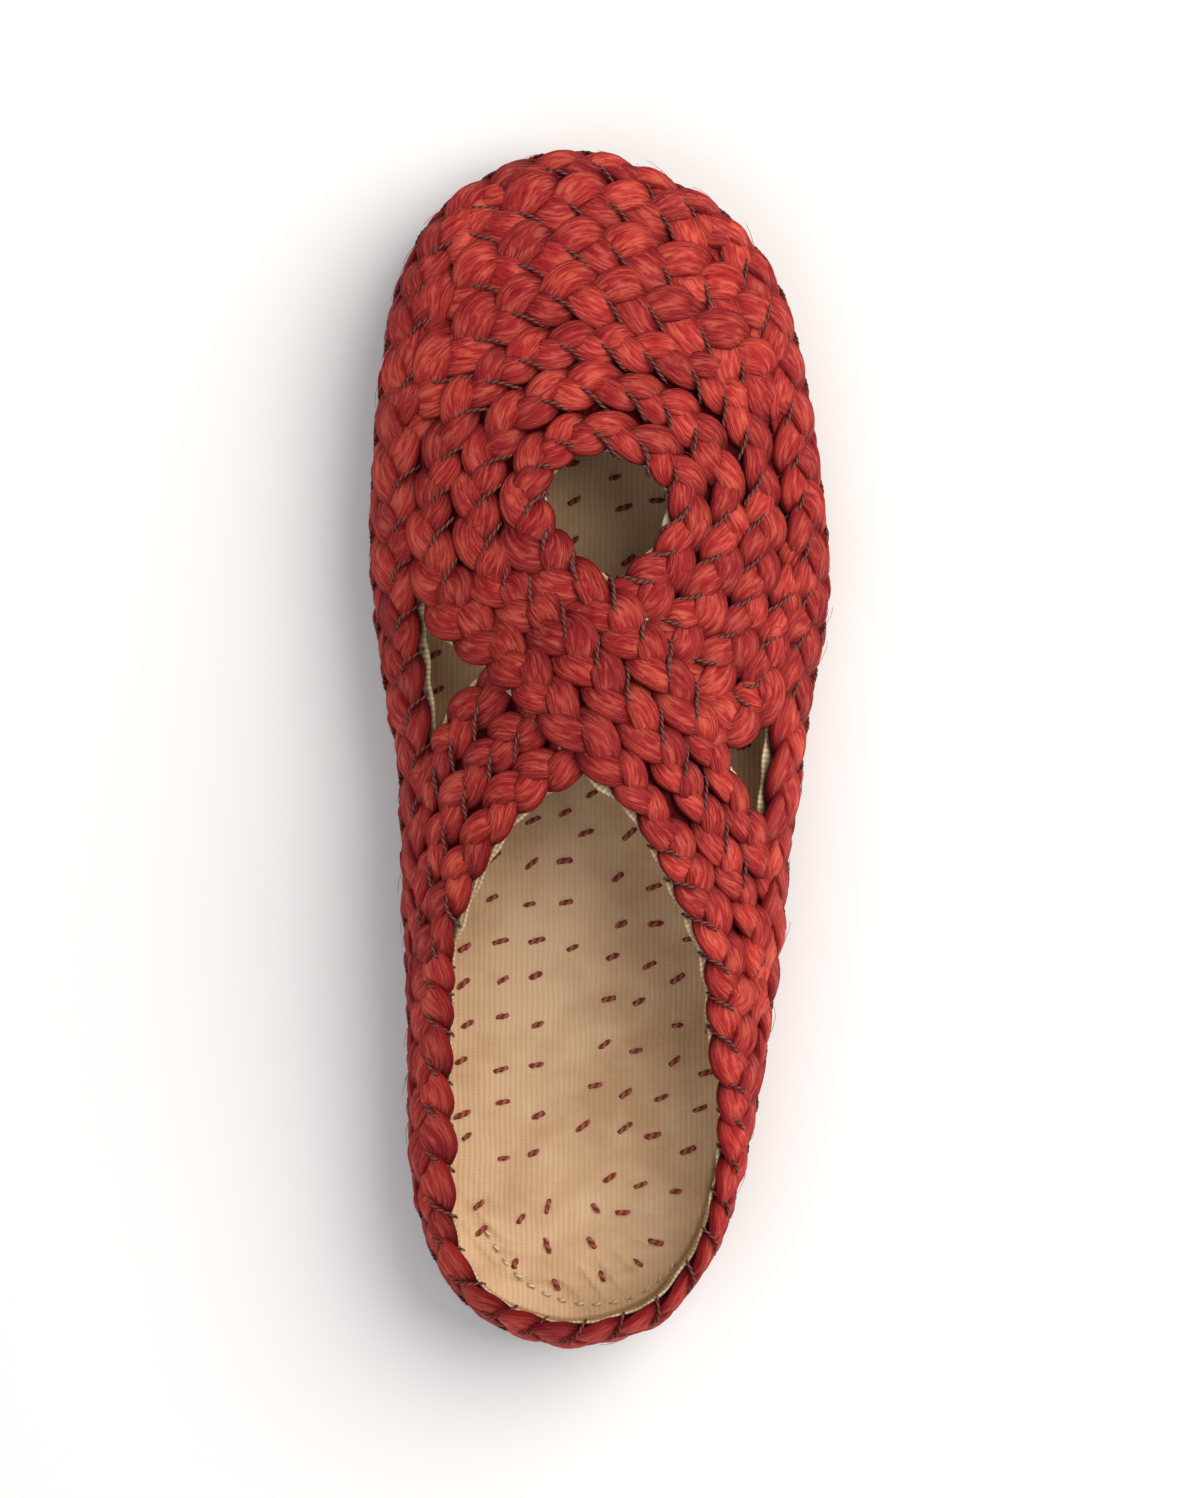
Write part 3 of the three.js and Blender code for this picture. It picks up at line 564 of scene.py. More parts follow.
def path_values(path, width, lift, closed, surface):
    count = len(path)
    width = np.broadcast_to(np.asarray(width, dtype=float), (count,))
    lift = np.broadcast_to(np.asarray(lift, dtype=float), (count,))
    if surface is sole_surface:
        loop = np.vstack([path, path[:1]]) if closed else path
        run = np.concatenate([[0], np.cumsum(np.linalg.norm(np.diff(loop, axis=0), axis=1))])
        steps = int(round(run[-1] / 1.5))
        ruler = np.linspace(0, run[-1], steps + 1)[: steps if closed else steps + 1]
        wrap = (lambda v: np.append(v, v[:1])) if closed else (lambda v: v)
        plan = np.column_stack([np.interp(ruler, run, loop[:, 0]), np.interp(ruler, run, loop[:, 1])])
        values = [np.interp(ruler, run, wrap(v)) for v in (width, lift)]
        return plan, run[-1], ruler, values
    return even_path(path, width, lift, spacing=1.0, closed=closed, blur=0)


def strand_section(spine, across, out, wide, thick, own):
    """Rings round a strand: a flat cushion with the folds of the raffia as soft ridges on top."""
    angle = STRAND_ANGLES[None]
    top = np.clip(np.sin(angle), 0, 1)
    folds = np.cos(7 * angle + 6.28 * own[:, :1]) * 0.045 + np.cos(12 * angle + 6.28 * own[:, 1:2]) * 0.035
    boxy = lambda v: np.sign(v) * np.abs(v) ** 0.58
    w = (wide[:, None] * boxy(np.cos(angle)) * (1 + 0.4 * folds * top))[..., None]
    h = (thick[:, None] * boxy(np.sin(angle)) * (1 + 1.6 * folds * top))[..., None]
    return spine[:, None] + across[:, None] * w + out[:, None] * h


def crossing_dye_and_shade(points):
    """Darker round the crossing: the bundles used there took more dye than the rest, and the painted shade is deeper
    there.
    """
    middle, reach = np.array([-14.0, 24.0]), np.array([34.0, 40.0])
    return np.exp(-(((points[:, :2] - middle) / reach) ** 2).sum(axis=1))


fuzz = Bundle()
FIBRE_EVERY = 2.6  # millimetres of strand between two fibres that have come loose


def loosen_fibres(points, out, own, place, tone):
    """Fine fibres that have worked loose and stand off the leaves a little."""
    rings, sides = points.shape[:2]
    for start in np.arange(rng.uniform(0, 3), rings - 9, FIBRE_EVERY).astype(int):
        if not 0.0 < place[start] < 0.32 or out[start, 2] < -0.2:
            continue
        steps = np.arange(6)
        along = start + (steps * rng.uniform(0.8, 1.5)).astype(int)
        side = np.clip(rng.uniform(5, 15) + steps * rng.uniform(-0.6, 0.6), 3, 17).astype(int)
        lift = rng.uniform(0.1, 0.75) * (steps / 5.0) ** 1.5 + 0.02
        line = points[along, side] + out[along] * lift[:, None]
        line[:, :2] += np.outer((steps / 5.0) ** 2, rng.uniform(-0.8, 0.8, 2))
        ahead = unit(np.gradient(line, axis=0))
        across = unit(np.cross(ahead, out[along]))
        up = np.cross(across, ahead)
        turn = np.array([0.0, 2.1, 4.2])
        round_it = across[:, None] * np.cos(turn)[None, :, None] + up[:, None] * np.sin(turn)[None, :, None]
        ring = line[:, None] + 0.085 * round_it * np.linspace(1.0, 0.5, 6)[:, None, None]
        quads, tris = tube_faces(6, 3, False)
        # tone: the leaf's own value, a little painted shadow, and the full painted sheen of a strand's crown
        shown = np.tile([own[start, 3], 0.25 * rng.random(), 1.0], (18, 1))
        fibre = np.column_stack([rng.uniform(0, 40) + np.zeros(18), np.repeat(steps * 0.8, 3), np.zeros(18)])
        fuzz.add(ring.reshape(-1, 3), quads, tris, fibre, shown)


def add_strand(bundle, points, spine, own, shade, closed, strand, place):
    rings, sides = points.shape[:2]
    quads, tris = tube_faces(rings, sides, closed)
    run = np.concatenate([[0], np.cumsum(np.linalg.norm(np.diff(spine, axis=0), axis=1))])
    twist = (own[:, 2] - 0.5) * 5.0 * ((place + 0.18) % 1.0)  # the fibres wind a little round each leaf
    fibre = np.zeros((rings, sides, 3))
    fibre[..., 0] = STRAND_ANGLES[None] * 2.2 + twist[:, None]  # about millimetres across the strand
    fibre[..., 1] = (np.minimum(run, run[-1] - run) if closed else run)[:, None]
    fibre[..., 2] = 17.0 * strand + 31.0 * own[:, 2:3]
    tone = np.zeros((rings, sides, 3))
    tone[..., 0] = own[:, 3:4]
    # y: painted shadow where a strand goes under, deepened round the crossing by more dye and painted shade
    tone[..., 1] = (shade + 0.30 * crossing_dye_and_shade(spine) * (0.5 + own[:, 3]) * (1 - shade))[:, None]
    # z: how squarely the surface faces out; the material paints shade on the flanks and sheen on the crown from it
    tone[..., 2] = np.clip(np.sin(STRAND_ANGLES), 0, 1)[None]
    bundle.add(points.reshape(-1, 3), quads, tris, fibre.reshape(-1, 3), tone.reshape(-1, 3))


# Twine

def twine(bundle, points, radius=TWINE / 2, sides=8):
    """Two plies twisted together along a line of points."""
    run = np.concatenate([[0], np.cumsum(np.linalg.norm(np.diff(points, axis=0), axis=1))])
    ruler = np.linspace(0, run[-1], max(int(run[-1] / 0.45), 6))
    points = np.column_stack([np.interp(ruler, run, points[:, k]) for k in range(3)])
    tangent = unit(np.gradient(points, axis=0))
    helper = np.where(np.abs(tangent[:, 2:]) < 0.9, [[0.0, 0.0, 1.0]], [[1.0, 0.0, 0.0]])
    across = unit(np.cross(tangent, helper))
    out = np.cross(across, tangent)
    run = np.concatenate([[0], np.cumsum(np.linalg.norm(np.diff(points, axis=0), axis=1))])
    angle = np.arange(sides) * 2 * math.pi / sides
    twist = run[:, None] * 2.2 + rng.random() * 6
    end = smoothstep(np.minimum(run, run[-1] - run), -0.5, 0.35)[:, None]
    swell = radius * end * (1 + 0.24 * np.cos(2 * (angle[None] - twist)))
    ring = across[:, None] * (np.cos(angle)[None] * swell)[..., None]
    ring = ring + out[:, None] * (np.sin(angle)[None] * swell)[..., None]
    quads, tris = tube_faces(len(points), sides, False)
    tone = np.zeros((len(points), sides, 3))
    # x: a painted glint along the crown of each ply
    tone[..., 0] = 0.5 + 0.5 * np.cos(2 * (angle[None] - twist))
    tone[..., 1] = rng.random()
    bundle.add((points[:, None] + ring).reshape(-1, 3), quads, tris, tone=tone.reshape(-1, 3))


def on_row(row, run, offset):
    """Plan points at lengths along a laid row, offset to the left in millimetres."""
    plan, left, length, closed = row["plan"], row["left"], row["length"], row["closed"]
    ruler = row["run"]
    if closed:
        run = run % length
        ruler = np.append(ruler, length)
        plan = np.vstack([plan, plan[:1]])
        left = np.vstack([left, left[:1]])
    x = np.interp(run, ruler, plan[:, 0]) + offset * np.interp(run, ruler, left[:, 0])
    y = np.interp(run, ruler, plan[:, 1]) + offset * np.interp(run, ruler, left[:, 1])
    return np.column_stack([x, y])


def groove(row, side, k, phase):
    """Lengths along a row of the groove after its leaf k on one side; phase runs on by pi from edge to edge."""
    length = row["length"]
    plaited = length / row["turns"] * (k / 3 + phase / (2 * math.pi) + (1 / 6 if side > 0 else 0))
    if not row["closed"]:
        return np.interp(plaited, row["plaited"], row["run"])
    ruler = np.concatenate([row["plaited"] - length, row["plaited"], row["plaited"] + length])
    run = np.concatenate([row["run"] - length, row["run"], row["run"] + length])
    return np.interp(plaited, ruler, run)


def stitch(bundle, row, side, k, phase, past_edge, dip):
    """One dash of twine in a groove; phase is pi at the row's middle and half of that at its edge."""
    run = groove(row, side, k, phase)
    around = run % row["length"]
    swing = np.interp(around, row["run"], row["swing"])
    lift = np.interp(around, row["run"], row["lift"])
    offset = side * (swing * np.sin(phase) + past_edge)
    leaf = WALL * RISE * np.sin(2 * phase - math.pi)
    height = STITCH_HEIGHT + lift + leaf + row["tilt"] * row["outward"] * offset - dip
    points, _ = wall_surface(on_row(row, run, offset), height, row["behind_rim"])
    twine(bundle, points)


def row_stitches(bundle, row, side, start=0.0, end=1e9, keep=0.93):
    """Sews a row to the next one: a dash in each groove, from the row's middle to just past its edge."""
    for k in range(-1, int(row["turns"] * 3) + 1):
        skip = rng.random() > keep
        shift = rng.uniform(-0.05, 0.05)
        phase = np.linspace(1.06 + shift, 0.42 + shift, 12) * math.pi
        run = groove(row, side, k, phase)
        last_k = int(round(row["turns"] * 3)) - 1
        outside = run.min() < 4 or run.max() > row["length"] - 4
        if skip or (outside and not row["closed"]) or (row["closed"] and not 0 <= k <= last_k):
            continue
        if run.min() < start or run.max() > end:
            continue
        past_edge = 3.0 * np.clip(np.sin(phase), 0, 1) ** 3 * np.linspace(0, 1, 12)
        ends = np.minimum(np.arange(12), 11 - np.arange(12))
        stitch(bundle, row, side, k, phase, past_edge, 1.3 * np.clip(1 - ends / 2, 0, 1) ** 2)


def edge_stitches(bundle, row, side, start=0.0, end=1e9):
    """Binds a free edge: from the row's middle over its edge into the lining."""
    for k in range(int(row["turns"] * 3)):
        phase = (np.linspace(1.04, 0.5, 12) + rng.uniform(-0.03, 0.03)) * math.pi
        run = groove(row, side, k, phase)
        if run.min() < max(start, 3) or run.max() > min(end, row["length"] - 3):
            continue
        over = smoothstep(np.arange(12), 5.0, 11.0)
        under = smoothstep(-np.arange(12), -1.5, 0)
        proud = np.sin(math.pi * np.arange(12) / 11)
        stitch(bundle, row, side, k, phase, 2.6 * over, 2.3 * over**2 + 0.9 * under - 0.2 * proud)


def lay_row(bundle, path, width, period, **options):
    """Lays a plait and remembers it, so that stitches can follow."""
    laid = plait(bundle, path, width, period, **options)
    names = ("plan", "left", "length", "turns", "run", "width", "swing", "lift", "plaited")
    row = dict(zip(names, laid))
    row.update(
        closed=options.get("closed", False), outward=options.get("outward", 1),
        tilt=options.get("tilt", 0.0), behind_rim=options.get("behind_rim", False),
    )
    return row


# Materials

def colour(code):
    """sRGB hex to the linear colour that Blender mixes."""
    channels = [int(code[i:i + 2], 16) / 255 for i in (1, 3, 5)]
    return [c / 12.92 if c <= 0.04045 else ((c + 0.055) / 1.055) ** 2.4 for c in channels] + [1.0]


# Sockets of a Mix node that blends colours
FACTOR, UNDER, OVER, BLENDED = 0, 6, 7, 2


def add_node(tree, kind, inputs=None, links=None, stops=(), **settings):
    node = tree.nodes.new(kind)
    for name, value in settings.items():
        setattr(node, name, value)
    for name, value in (inputs or {}).items():
        node.inputs[name].default_value = value
    for name, source in (links or {}).items():
        tree.links.new(source, node.inputs[name])
    for k, (position, code) in enumerate(stops):
        element = node.color_ramp.elements[k] if k < 2 else node.color_ramp.elements.new(position)
        element.position = position
        element.color = colour(code)
    return node


def new_material(name):
    material = bpy.data.materials.new(name)
    material.use_nodes = True
    tree = material.node_tree
    return material, tree, tree.nodes["Principled BSDF"]


def bands(pitch):
    """Scale of a Wave texture whose bands are a pitch apart."""
    return math.pi / 10 / pitch


def along_fibre(tree, fibre, across, along):
    """Noise coordinates stretched along the fibres: waves per millimetre across and along them."""
    return add_node(
        tree, "ShaderNodeVectorMath", inputs={1: (across, along, 1.0)}, links={0: fibre.outputs["Vector"]},
        operation="MULTIPLY",
    ).outputs["Vector"]


def dyed_raffia(name, dark, edge, base, bright, crown_sheen):
    """Raffia palm leaf, dyed in the bundle: silky, with fine streaks along each fibre.

    Painted shadow darkens a strand where it goes under the next one and along its flanks, and a painted sheen lightens
    its crown.
    """
    material, tree, shader = new_material(name)
    fibre = add_node(tree, "ShaderNodeAttribute", attribute_name="fibre")
    tone = add_node(tree, "ShaderNodeAttribute", attribute_name="tone")
    part = add_node(tree, "ShaderNodeSeparateXYZ", links={"Vector": tone.outputs["Vector"]})
    # Fibres are 0.25 mm wide and show for 2 or 3 mm before they dip under others
    fine = add_node(
        tree, "ShaderNodeTexNoise", inputs={"Scale": 1.0, "Detail": 2.0, "Roughness": 0.55},
        links={"Vector": along_fibre(tree, fibre, 3.8, 0.30)},
    )
    # Locks of fibres are 1 to 1.5 mm wide and run for most of a leaf
    locks = add_node(
        tree, "ShaderNodeTexNoise", inputs={"Scale": 1.0, "Detail": 2.0},
        links={"Vector": along_fibre(tree, fibre, 0.75, 0.14)},
    )
    streak = add_node(
        tree, "ShaderNodeMath", inputs={1: 0.65}, links={0: locks.outputs["Fac"], 2: fine.outputs["Fac"]},
        operation="MULTIPLY_ADD",
    )
    dyed = add_node(
        tree, "ShaderNodeValToRGB", links={"Fac": streak.outputs["Value"]},
        stops=((0.42, edge), (1.0, bright), (0.77, base)),
    )
    # painted shade on each strand's flanks, where its surface turns away from its crown; edge is also the darkest fibre
    # streak
    side = add_node(
        tree, "ShaderNodeMapRange", inputs={"From Min": 0.72, "From Max": 0.15, "To Min": 0.0, "To Max": 0.8},
        links={"Value": part.outputs["Z"]},
    )
    shaded_flank = add_node(
        tree, "ShaderNodeMix", data_type="RGBA", inputs={OVER: colour(edge)},
        links={FACTOR: side.outputs["Result"], UNDER: dyed.outputs["Color"]},
    )
    # painted shadow: toward the dark colour where a strand goes under the next one, deeper round the crossing
    shade = add_node(
        tree, "ShaderNodeMath", inputs={1: 0.95}, use_clamp=True, links={0: part.outputs["Y"]},
        operation="MULTIPLY",
    )
    deep = add_node(
        tree, "ShaderNodeMix", data_type="RGBA", inputs={OVER: colour(dark)},
        links={FACTOR: shade.outputs["Value"], UNDER: shaded_flank.outputs[BLENDED]},
    )
    leaf = add_node(
        tree, "ShaderNodeMapRange", inputs={"To Min": 0.72, "To Max": 1.22}, links={"Value": part.outputs["X"]},
    )
    warmth = add_node(
        tree, "ShaderNodeMapRange", inputs={"To Min": 0.498, "To Max": 0.502}, links={"Value": part.outputs["X"]},
    )
    varied = add_node(
        tree, "ShaderNodeHueSaturation", inputs={"Saturation": 0.99},
        links={"Hue": warmth.outputs["Result"], "Value": leaf.outputs["Result"], "Color": deep.outputs[BLENDED]},
    )
    # painted sheen: each strand's crown is lightened toward the sheen colour, broken up by the fine fibre streaks
    crown_sheen_mask = add_node(
        tree, "ShaderNodeMapRange", inputs={"From Min": 0.80, "From Max": 1.0, "To Max": 0.26},
        links={"Value": part.outputs["Z"]},
    )
    sheen_streaks = add_node(
        tree, "ShaderNodeMapRange", inputs={"From Min": 0.48, "From Max": 0.74}, links={"Value": fine.outputs["Fac"]},
    )
    sheen_amount = add_node(
        tree, "ShaderNodeMath", links={0: crown_sheen_mask.outputs["Result"], 1: sheen_streaks.outputs["Result"]}, operation="MULTIPLY",
    )
    with_sheen = add_node(
        tree, "ShaderNodeMix", data_type="RGBA", inputs={OVER: colour(crown_sheen)},
        links={FACTOR: sheen_amount.outputs["Value"], UNDER: varied.outputs["Color"]},
    )
    bump = add_node(
        tree, "ShaderNodeBump", inputs={"Strength": 1.0, "Distance": 0.0007},
        links={"Height": streak.outputs["Value"]},
    )
    tree.links.new(with_sheen.outputs[BLENDED], shader.inputs["Base Color"])
    tree.links.new(bump.outputs["Normal"], shader.inputs["Normal"])
    shader.inputs["Roughness"].default_value = 0.60
    shader.inputs["Specular IOR Level"].default_value = 0.08
    return material


def cotton_canvas(name, light, dark, soiled):
    """Unbleached ribbed cotton: ribs 1.1 mm apart along the shoe, crossed by finer threads."""
    material, tree, shader = new_material(name)
    scaled = add_node(tree, "ShaderNodeAttribute", attribute_name="fibre")  # millimetres on the flat cloth
    waver = add_node(
        tree, "ShaderNodeTexNoise", inputs={"Scale": 0.09, "Detail": 1.0}, links={"Vector": scaled.outputs["Vector"]},
    )
    bent = add_node(
        tree, "ShaderNodeVectorMath", inputs={1: (1.2, 1.2, 0.0)},
        links={0: waver.outputs["Color"], 2: scaled.outputs["Vector"]}, operation="MULTIPLY_ADD",
    )
    ribs = add_node(
        tree, "ShaderNodeTexWave", inputs={"Scale": bands(RIB_PITCH)}, links={"Vector": bent.outputs["Vector"]},
        bands_direction="X",
    )
    # The crossing threads are 0.35 mm apart on the real canvas and drawn at 0.7 mm, so that they show
    threads = add_node(
        tree, "ShaderNodeTexWave", inputs={"Scale": bands(0.7), "Distortion": 0.4, "Detail": 1.0},
        links={"Vector": bent.outputs["Vector"]}, bands_direction="Y",
    )
    weave = add_node(
        tree, "ShaderNodeMath", inputs={1: 0.35}, links={0: threads.outputs["Fac"], 2: ribs.outputs["Fac"]},
        operation="MULTIPLY_ADD",
    )
    soil = add_node(
        tree, "ShaderNodeTexNoise", inputs={"Scale": 0.045, "Detail": 4.0, "Roughness": 0.6},
        links={"Vector": scaled.outputs["Vector"]},
    )
    woven = add_node(
        tree, "ShaderNodeValToRGB", links={"Fac": weave.outputs["Value"]}, stops=((0.0, dark), (0.9, light)),
    )
    stained = add_node(
        tree, "ShaderNodeValToRGB", links={"Fac": soil.outputs["Fac"]}, stops=((0.42, "#ffffff"), (0.68, soiled)),
    )
    mixed = add_node(
        tree, "ShaderNodeMix", data_type="RGBA", blend_type="MULTIPLY", inputs={FACTOR: 0.55},
        links={UNDER: woven.outputs["Color"], OVER: stained.outputs["Color"]},
    )
    bump = add_node(
        tree, "ShaderNodeBump", inputs={"Strength": 0.6, "Distance": 0.00012}, links={"Height": weave.outputs["Value"]},
    )
    tree.links.new(mixed.outputs[BLENDED], shader.inputs["Base Color"])
    tree.links.new(bump.outputs["Normal"], shader.inputs["Normal"])
    shader.inputs["Roughness"].default_value = 0.92
    shader.inputs["Specular IOR Level"].default_value = 0.2
    return material


def waxed_twine(name, dark, light):
    """Two-ply linen twine, waxed: dark, with a pale glint along the top of each ply."""
    material, tree, shader = new_material(name)
    tone = add_node(tree, "ShaderNodeAttribute", attribute_name="tone")
    part = add_node(tree, "ShaderNodeSeparateXYZ", links={"Vector": tone.outputs["Vector"]})
    plies = add_node(
        tree, "ShaderNodeValToRGB", links={"Fac": part.outputs["X"]}, stops=((0.15, dark), (0.95, light)),
    )
    tree.links.new(plies.outputs["Color"], shader.inputs["Base Color"])
    shader.inputs["Roughness"].default_value = 0.7
    shader.inputs["Specular IOR Level"].default_value = 0.12
    return material


# colours: painted shadow at tucks, darkest streak and painted flank shade, base, brightest streak, painted sheen on
# crowns
raffia = dyed_raffia("dyed raffia plait", "#4c000b", "#7a0718", "#a92a2a", "#c54d3d", "#d47360")
sole_raffia = dyed_raffia("trodden raffia plait", "#3c0d0c", "#642019", "#8f3a2a", "#b0603f", "#b09070")
insole_canvas = cotton_canvas("ribbed cotton canvas", "#d4b491", "#c9a986", "#c4ad90")
lining_canvas = cotton_canvas("cotton canvas lining", "#dcc6a0", "#b89c78", "#c7b085")
dark_twine = waxed_twine("waxed linen twine", "#3c1c1c", "#85504a")
red_twine = waxed_twine("maroon linen twine", "#64282a", "#b0604f")
cream_thread = waxed_twine("cream cotton thread", "#a58c68", "#e6d3ae")


# Rows of the upper

over_edges = strap_edges(STRAP_OVER, lateral=True)
under_edges = strap_edges(STRAP_UNDER, lateral=False)


def ring_row(start, end, lower, upper, count=1500):
    place = np.linspace(start, end, count) % 4
    low, high = lower(place), upper(place)
    return last.plan(place, (low + high) / 2), high - low


def side_place(along, lateral):
    share = (along - HEEL_CENTRE) / (TOE_CENTRE - HEEL_CENTRE)
    return 3 - share if lateral else share


def cut_at_rim(path, *values, depth=4.0):
    """Drops the ends of a row that lie wholly behind the rows on the sole's edge."""
    place, s = last.place_of(path)
    clear = last.at(last.length, place) - s > rim_up(place) - depth
    inside = np.flatnonzero(clear)
    keep = slice(inside[0], inside[-1] + 1)
    return [path[keep]] + [v[keep] for v in values]


def join(*parts):
    paths = np.vstack([p for p, _ in parts])
    widths = np.concatenate([w for _, w in parts])
    return paths, widths


def relax(path, width, spacing=1.0, rounds=60):
    """Evens out the joint between two parts of one plait."""
    even, _, _, (wide,) = even_path(path, width, spacing=spacing)
    for _ in range(rounds):
        even[1:-1] = (even[:-2] + 2 * even[1:-1] + even[2:]) / 4
        wide[1:-1] = (wide[:-2] + 2 * wide[1:-1] + wide[2:]) / 4
    return even, wide


def rides_over(t):
    up = smoothstep(t, CROSSING_FROM, CROSSING_FROM + CROSSING_EASE)
    down = smoothstep(t, CROSSING_TO - CROSSING_EASE, CROSSING_TO)
    return CROSSING_LIFT * WALL * up * (1 - down)


SHINGLE = 0.10  # how far a row leans on the next one, as a slope
LEFT, RIGHT = 1, -1  # sides of a row, looking the way its leaves point
stitching = Bundle()
binding = Bundle()

# The first row, a closed ring on the sole's edge. Its leaves point up the lateral side and round the toe
welt = Bundle()
path, width = ring_row(4 - 4 / 1500, 0, lambda p: 0 * p, first_row)
welt_row = lay_row(welt, path, width, 30.0, closed=True, tilt=SHINGLE, outward=RIGHT)
row_stitches(stitching, welt_row, LEFT)

# The second row, from the lateral wall forward round the toe
rows = Bundle()
path, width = ring_row(side_place(-0.292, True), side_place(-0.318, False), first_row, rim_up)
rim_row = lay_row(rows, path, np.maximum(width, 7.0), 29.5, tilt=SHINGLE, outward=RIGHT)
length = rim_row["length"]
row_stitches(stitching, rim_row, LEFT, start=0.36 * length, end=0.66 * length)
edge_stitches(binding, rim_row, LEFT, start=0.18 * length, end=0.36 * length)
edge_stitches(binding, rim_row, LEFT, start=0.66 * length, end=0.86 * length)

# Short rows that fill the toe
cap_edge = np.array(
    [unrolled(row[0], row[1]) for row in STRAP_OVER[4:0:-1]] + [unrolled(row[0], row[1]) for row in STRAP_UNDER[:5]]
)
cap_line = rounded(cap_edge, np.linspace(1, 0, 600))
for k in range(CAP_ROWS):
    place, s = last.place_of(cap_line)
    up = last.at(last.length, place) - s - (k + 0.5) * CAP_ROW
    path = last.plan(place, up)
    path, up = cut_at_rim(path, up)
    row = lay_row(rows, path, CAP_ROW + 1.5, 31.0, tilt=SHINGLE, behind_rim=True, outward=RIGHT)
    row_stitches(stitching, row, LEFT)

# Three rows make one long ribbon: from under the crossing up the lateral side, round the toe and the hole,
# over the crossing and down the lateral wall. The row on the foot opening goes on round the heel and
# comes back up the medial wall to the crossing.
ribbon = Bundle()
fourth = lambda t: smoothstep(t, 0.24, 0.40)
collar_from, collar_to = side_place(-0.200, True), 4 + side_place(-0.170, False)
for k in range(STRAP_ROWS):
    toe_side, wide_toe, _ = strap_row(under_edges, k, 0.61, 0.03, 400, fourth)
    over, wide_over, t = strap_row(over_edges, k, 0.004, 0.93 if k == 0 else 1.0, 700)
    parts = [toe_side, over]
    widths = [wide_toe, wide_over]
    lifts = [np.zeros(400), rides_over(t)]
    if k == 0:
        lower = lambda p: np.where(rim_up(p) - first_row(p) > TUCKED, rim_up(p), first_row(p))
        heel, wide_heel = ring_row(collar_from, collar_to, lower, collar_up, 600)
        back, wide_back, _ = strap_row(under_edges, k, 0.90, 0.585)
        parts += [heel, back]
        widths += [np.clip(wide_heel, 8, 12.5), wide_back]
        lifts += [np.zeros(600 + 500)]
    path, width, lift = np.vstack(parts), np.concatenate(widths), np.concatenate(lifts)
    path, _, _, (width, lift) = even_path(path, width, lift)
    for _ in range(40):
        path[1:-1] = (path[:-2] + 2 * path[1:-1] + path[2:]) / 4
    if k > 0:
        path, width, lift = cut_at_rim(path, width, lift)
    row = lay_row(ribbon, path, width, 27.0, lift=lift, behind_rim=k > 0)
    length = row["length"]
    toe_end = 205 if k == 0 else 195 - 15 * k
    row_stitches(stitching, row, LEFT, end=length if k == 1 else toe_end)
    if k == 0:
        edge_stitches(binding, row, RIGHT, start=toe_end + 62, end=length - 45)
    if k == 2:
        edge_stitches(binding, row, LEFT, start=12, end=toe_end)
        row_stitches(stitching, row, RIGHT, start=toe_end + 25)

# A fourth row comes in beside the ribbon where it widens towards the crossing
path, width, _ = strap_row(under_edges, -1, 0.60, 0.27, 300, fourth)
row = lay_row(rows, path, np.minimum(width, 11), 27.0, behind_rim=True)
row_stitches(stitching, row, LEFT)

# The lower strap's other two rows, from the medial wall to the crossing
for k in range(1, STRAP_ROWS):
    path, width, _ = strap_row(under_edges, k, 1.0, 0.585)
    path, width = cut_at_rim(path, width)
    row = lay_row(rows, path, width, 26.5, lift=-0.3, behind_rim=True)
    row_stitches(stitching, row, RIGHT)


# Sole: a coil of thicker plaits

sole = Bundle()
SOLE_PLAIT = 9.5  # thickness that its strands are made for: pressed flat, they fill the sole
SOLE_LIFT = 3.0
around = np.linspace(0, 4, 1201)[:-1]
for k in range(SOLE_PLAITS):
    outer = 1 - k / (SOLE_PLAITS + 0.5)
    inner = 1 - (k + 1) / (SOLE_PLAITS + 0.5)
    origin, direction = last.rib(around)
    reach = last.at(last.reach, around) - SOLE_INSET - 0.6
    middle = origin + direction * (reach * (outer + inner) / 2)[:, None]
    width = reach * (outer - inner)
    plait(
        sole, middle, width * 1.08, 29.0, lift=SOLE_LIFT, closed=True, thickness=SOLE_PLAIT,
        surface=sole_surface,
    )
# A flat core keeps the canvas from showing between the plaits; its tone is mostly painted shadow, for the gaps
origin, direction = last.rib(around)
reach = last.at(last.reach, around) - SOLE_INSET - 4
rings = [(0.0, 3.4), (0.5, 3.4), (1.0, 3.4), (1.0, 5.2), (0.5, 5.2), (0.0, 5.2)]
core = []
for share, height in rings:
    flat = origin + direction * (reach * share)[:, None]
    core.append(np.column_stack([flat, floor_lift(flat[:, 1]) + height]))
core = np.stack(core, axis=1)
quads, tris = tube_faces(len(around), len(rings), True)
quads = quads[np.arange(len(quads)) % len(rings) != len(rings) - 1]
points = core.reshape(-1, 3)
sole.add(points, quads, fibre=points, tone=np.tile([0.3, 0.8, 0.8], (len(points), 1)))

spine_y = np.linspace(HEEL_CENTRE, TOE_CENTRE, 300) * LENGTH
spine = np.column_stack([look_up(CROWN, spine_y / LENGTH, "ridge") * BALL_WIDTH, spine_y])
plait(
    sole, spine, 10.0, 29.0, lift=SOLE_LIFT, thickness=SOLE_PLAIT, surface=sole_surface, taper=False,
)


# Insole and lining

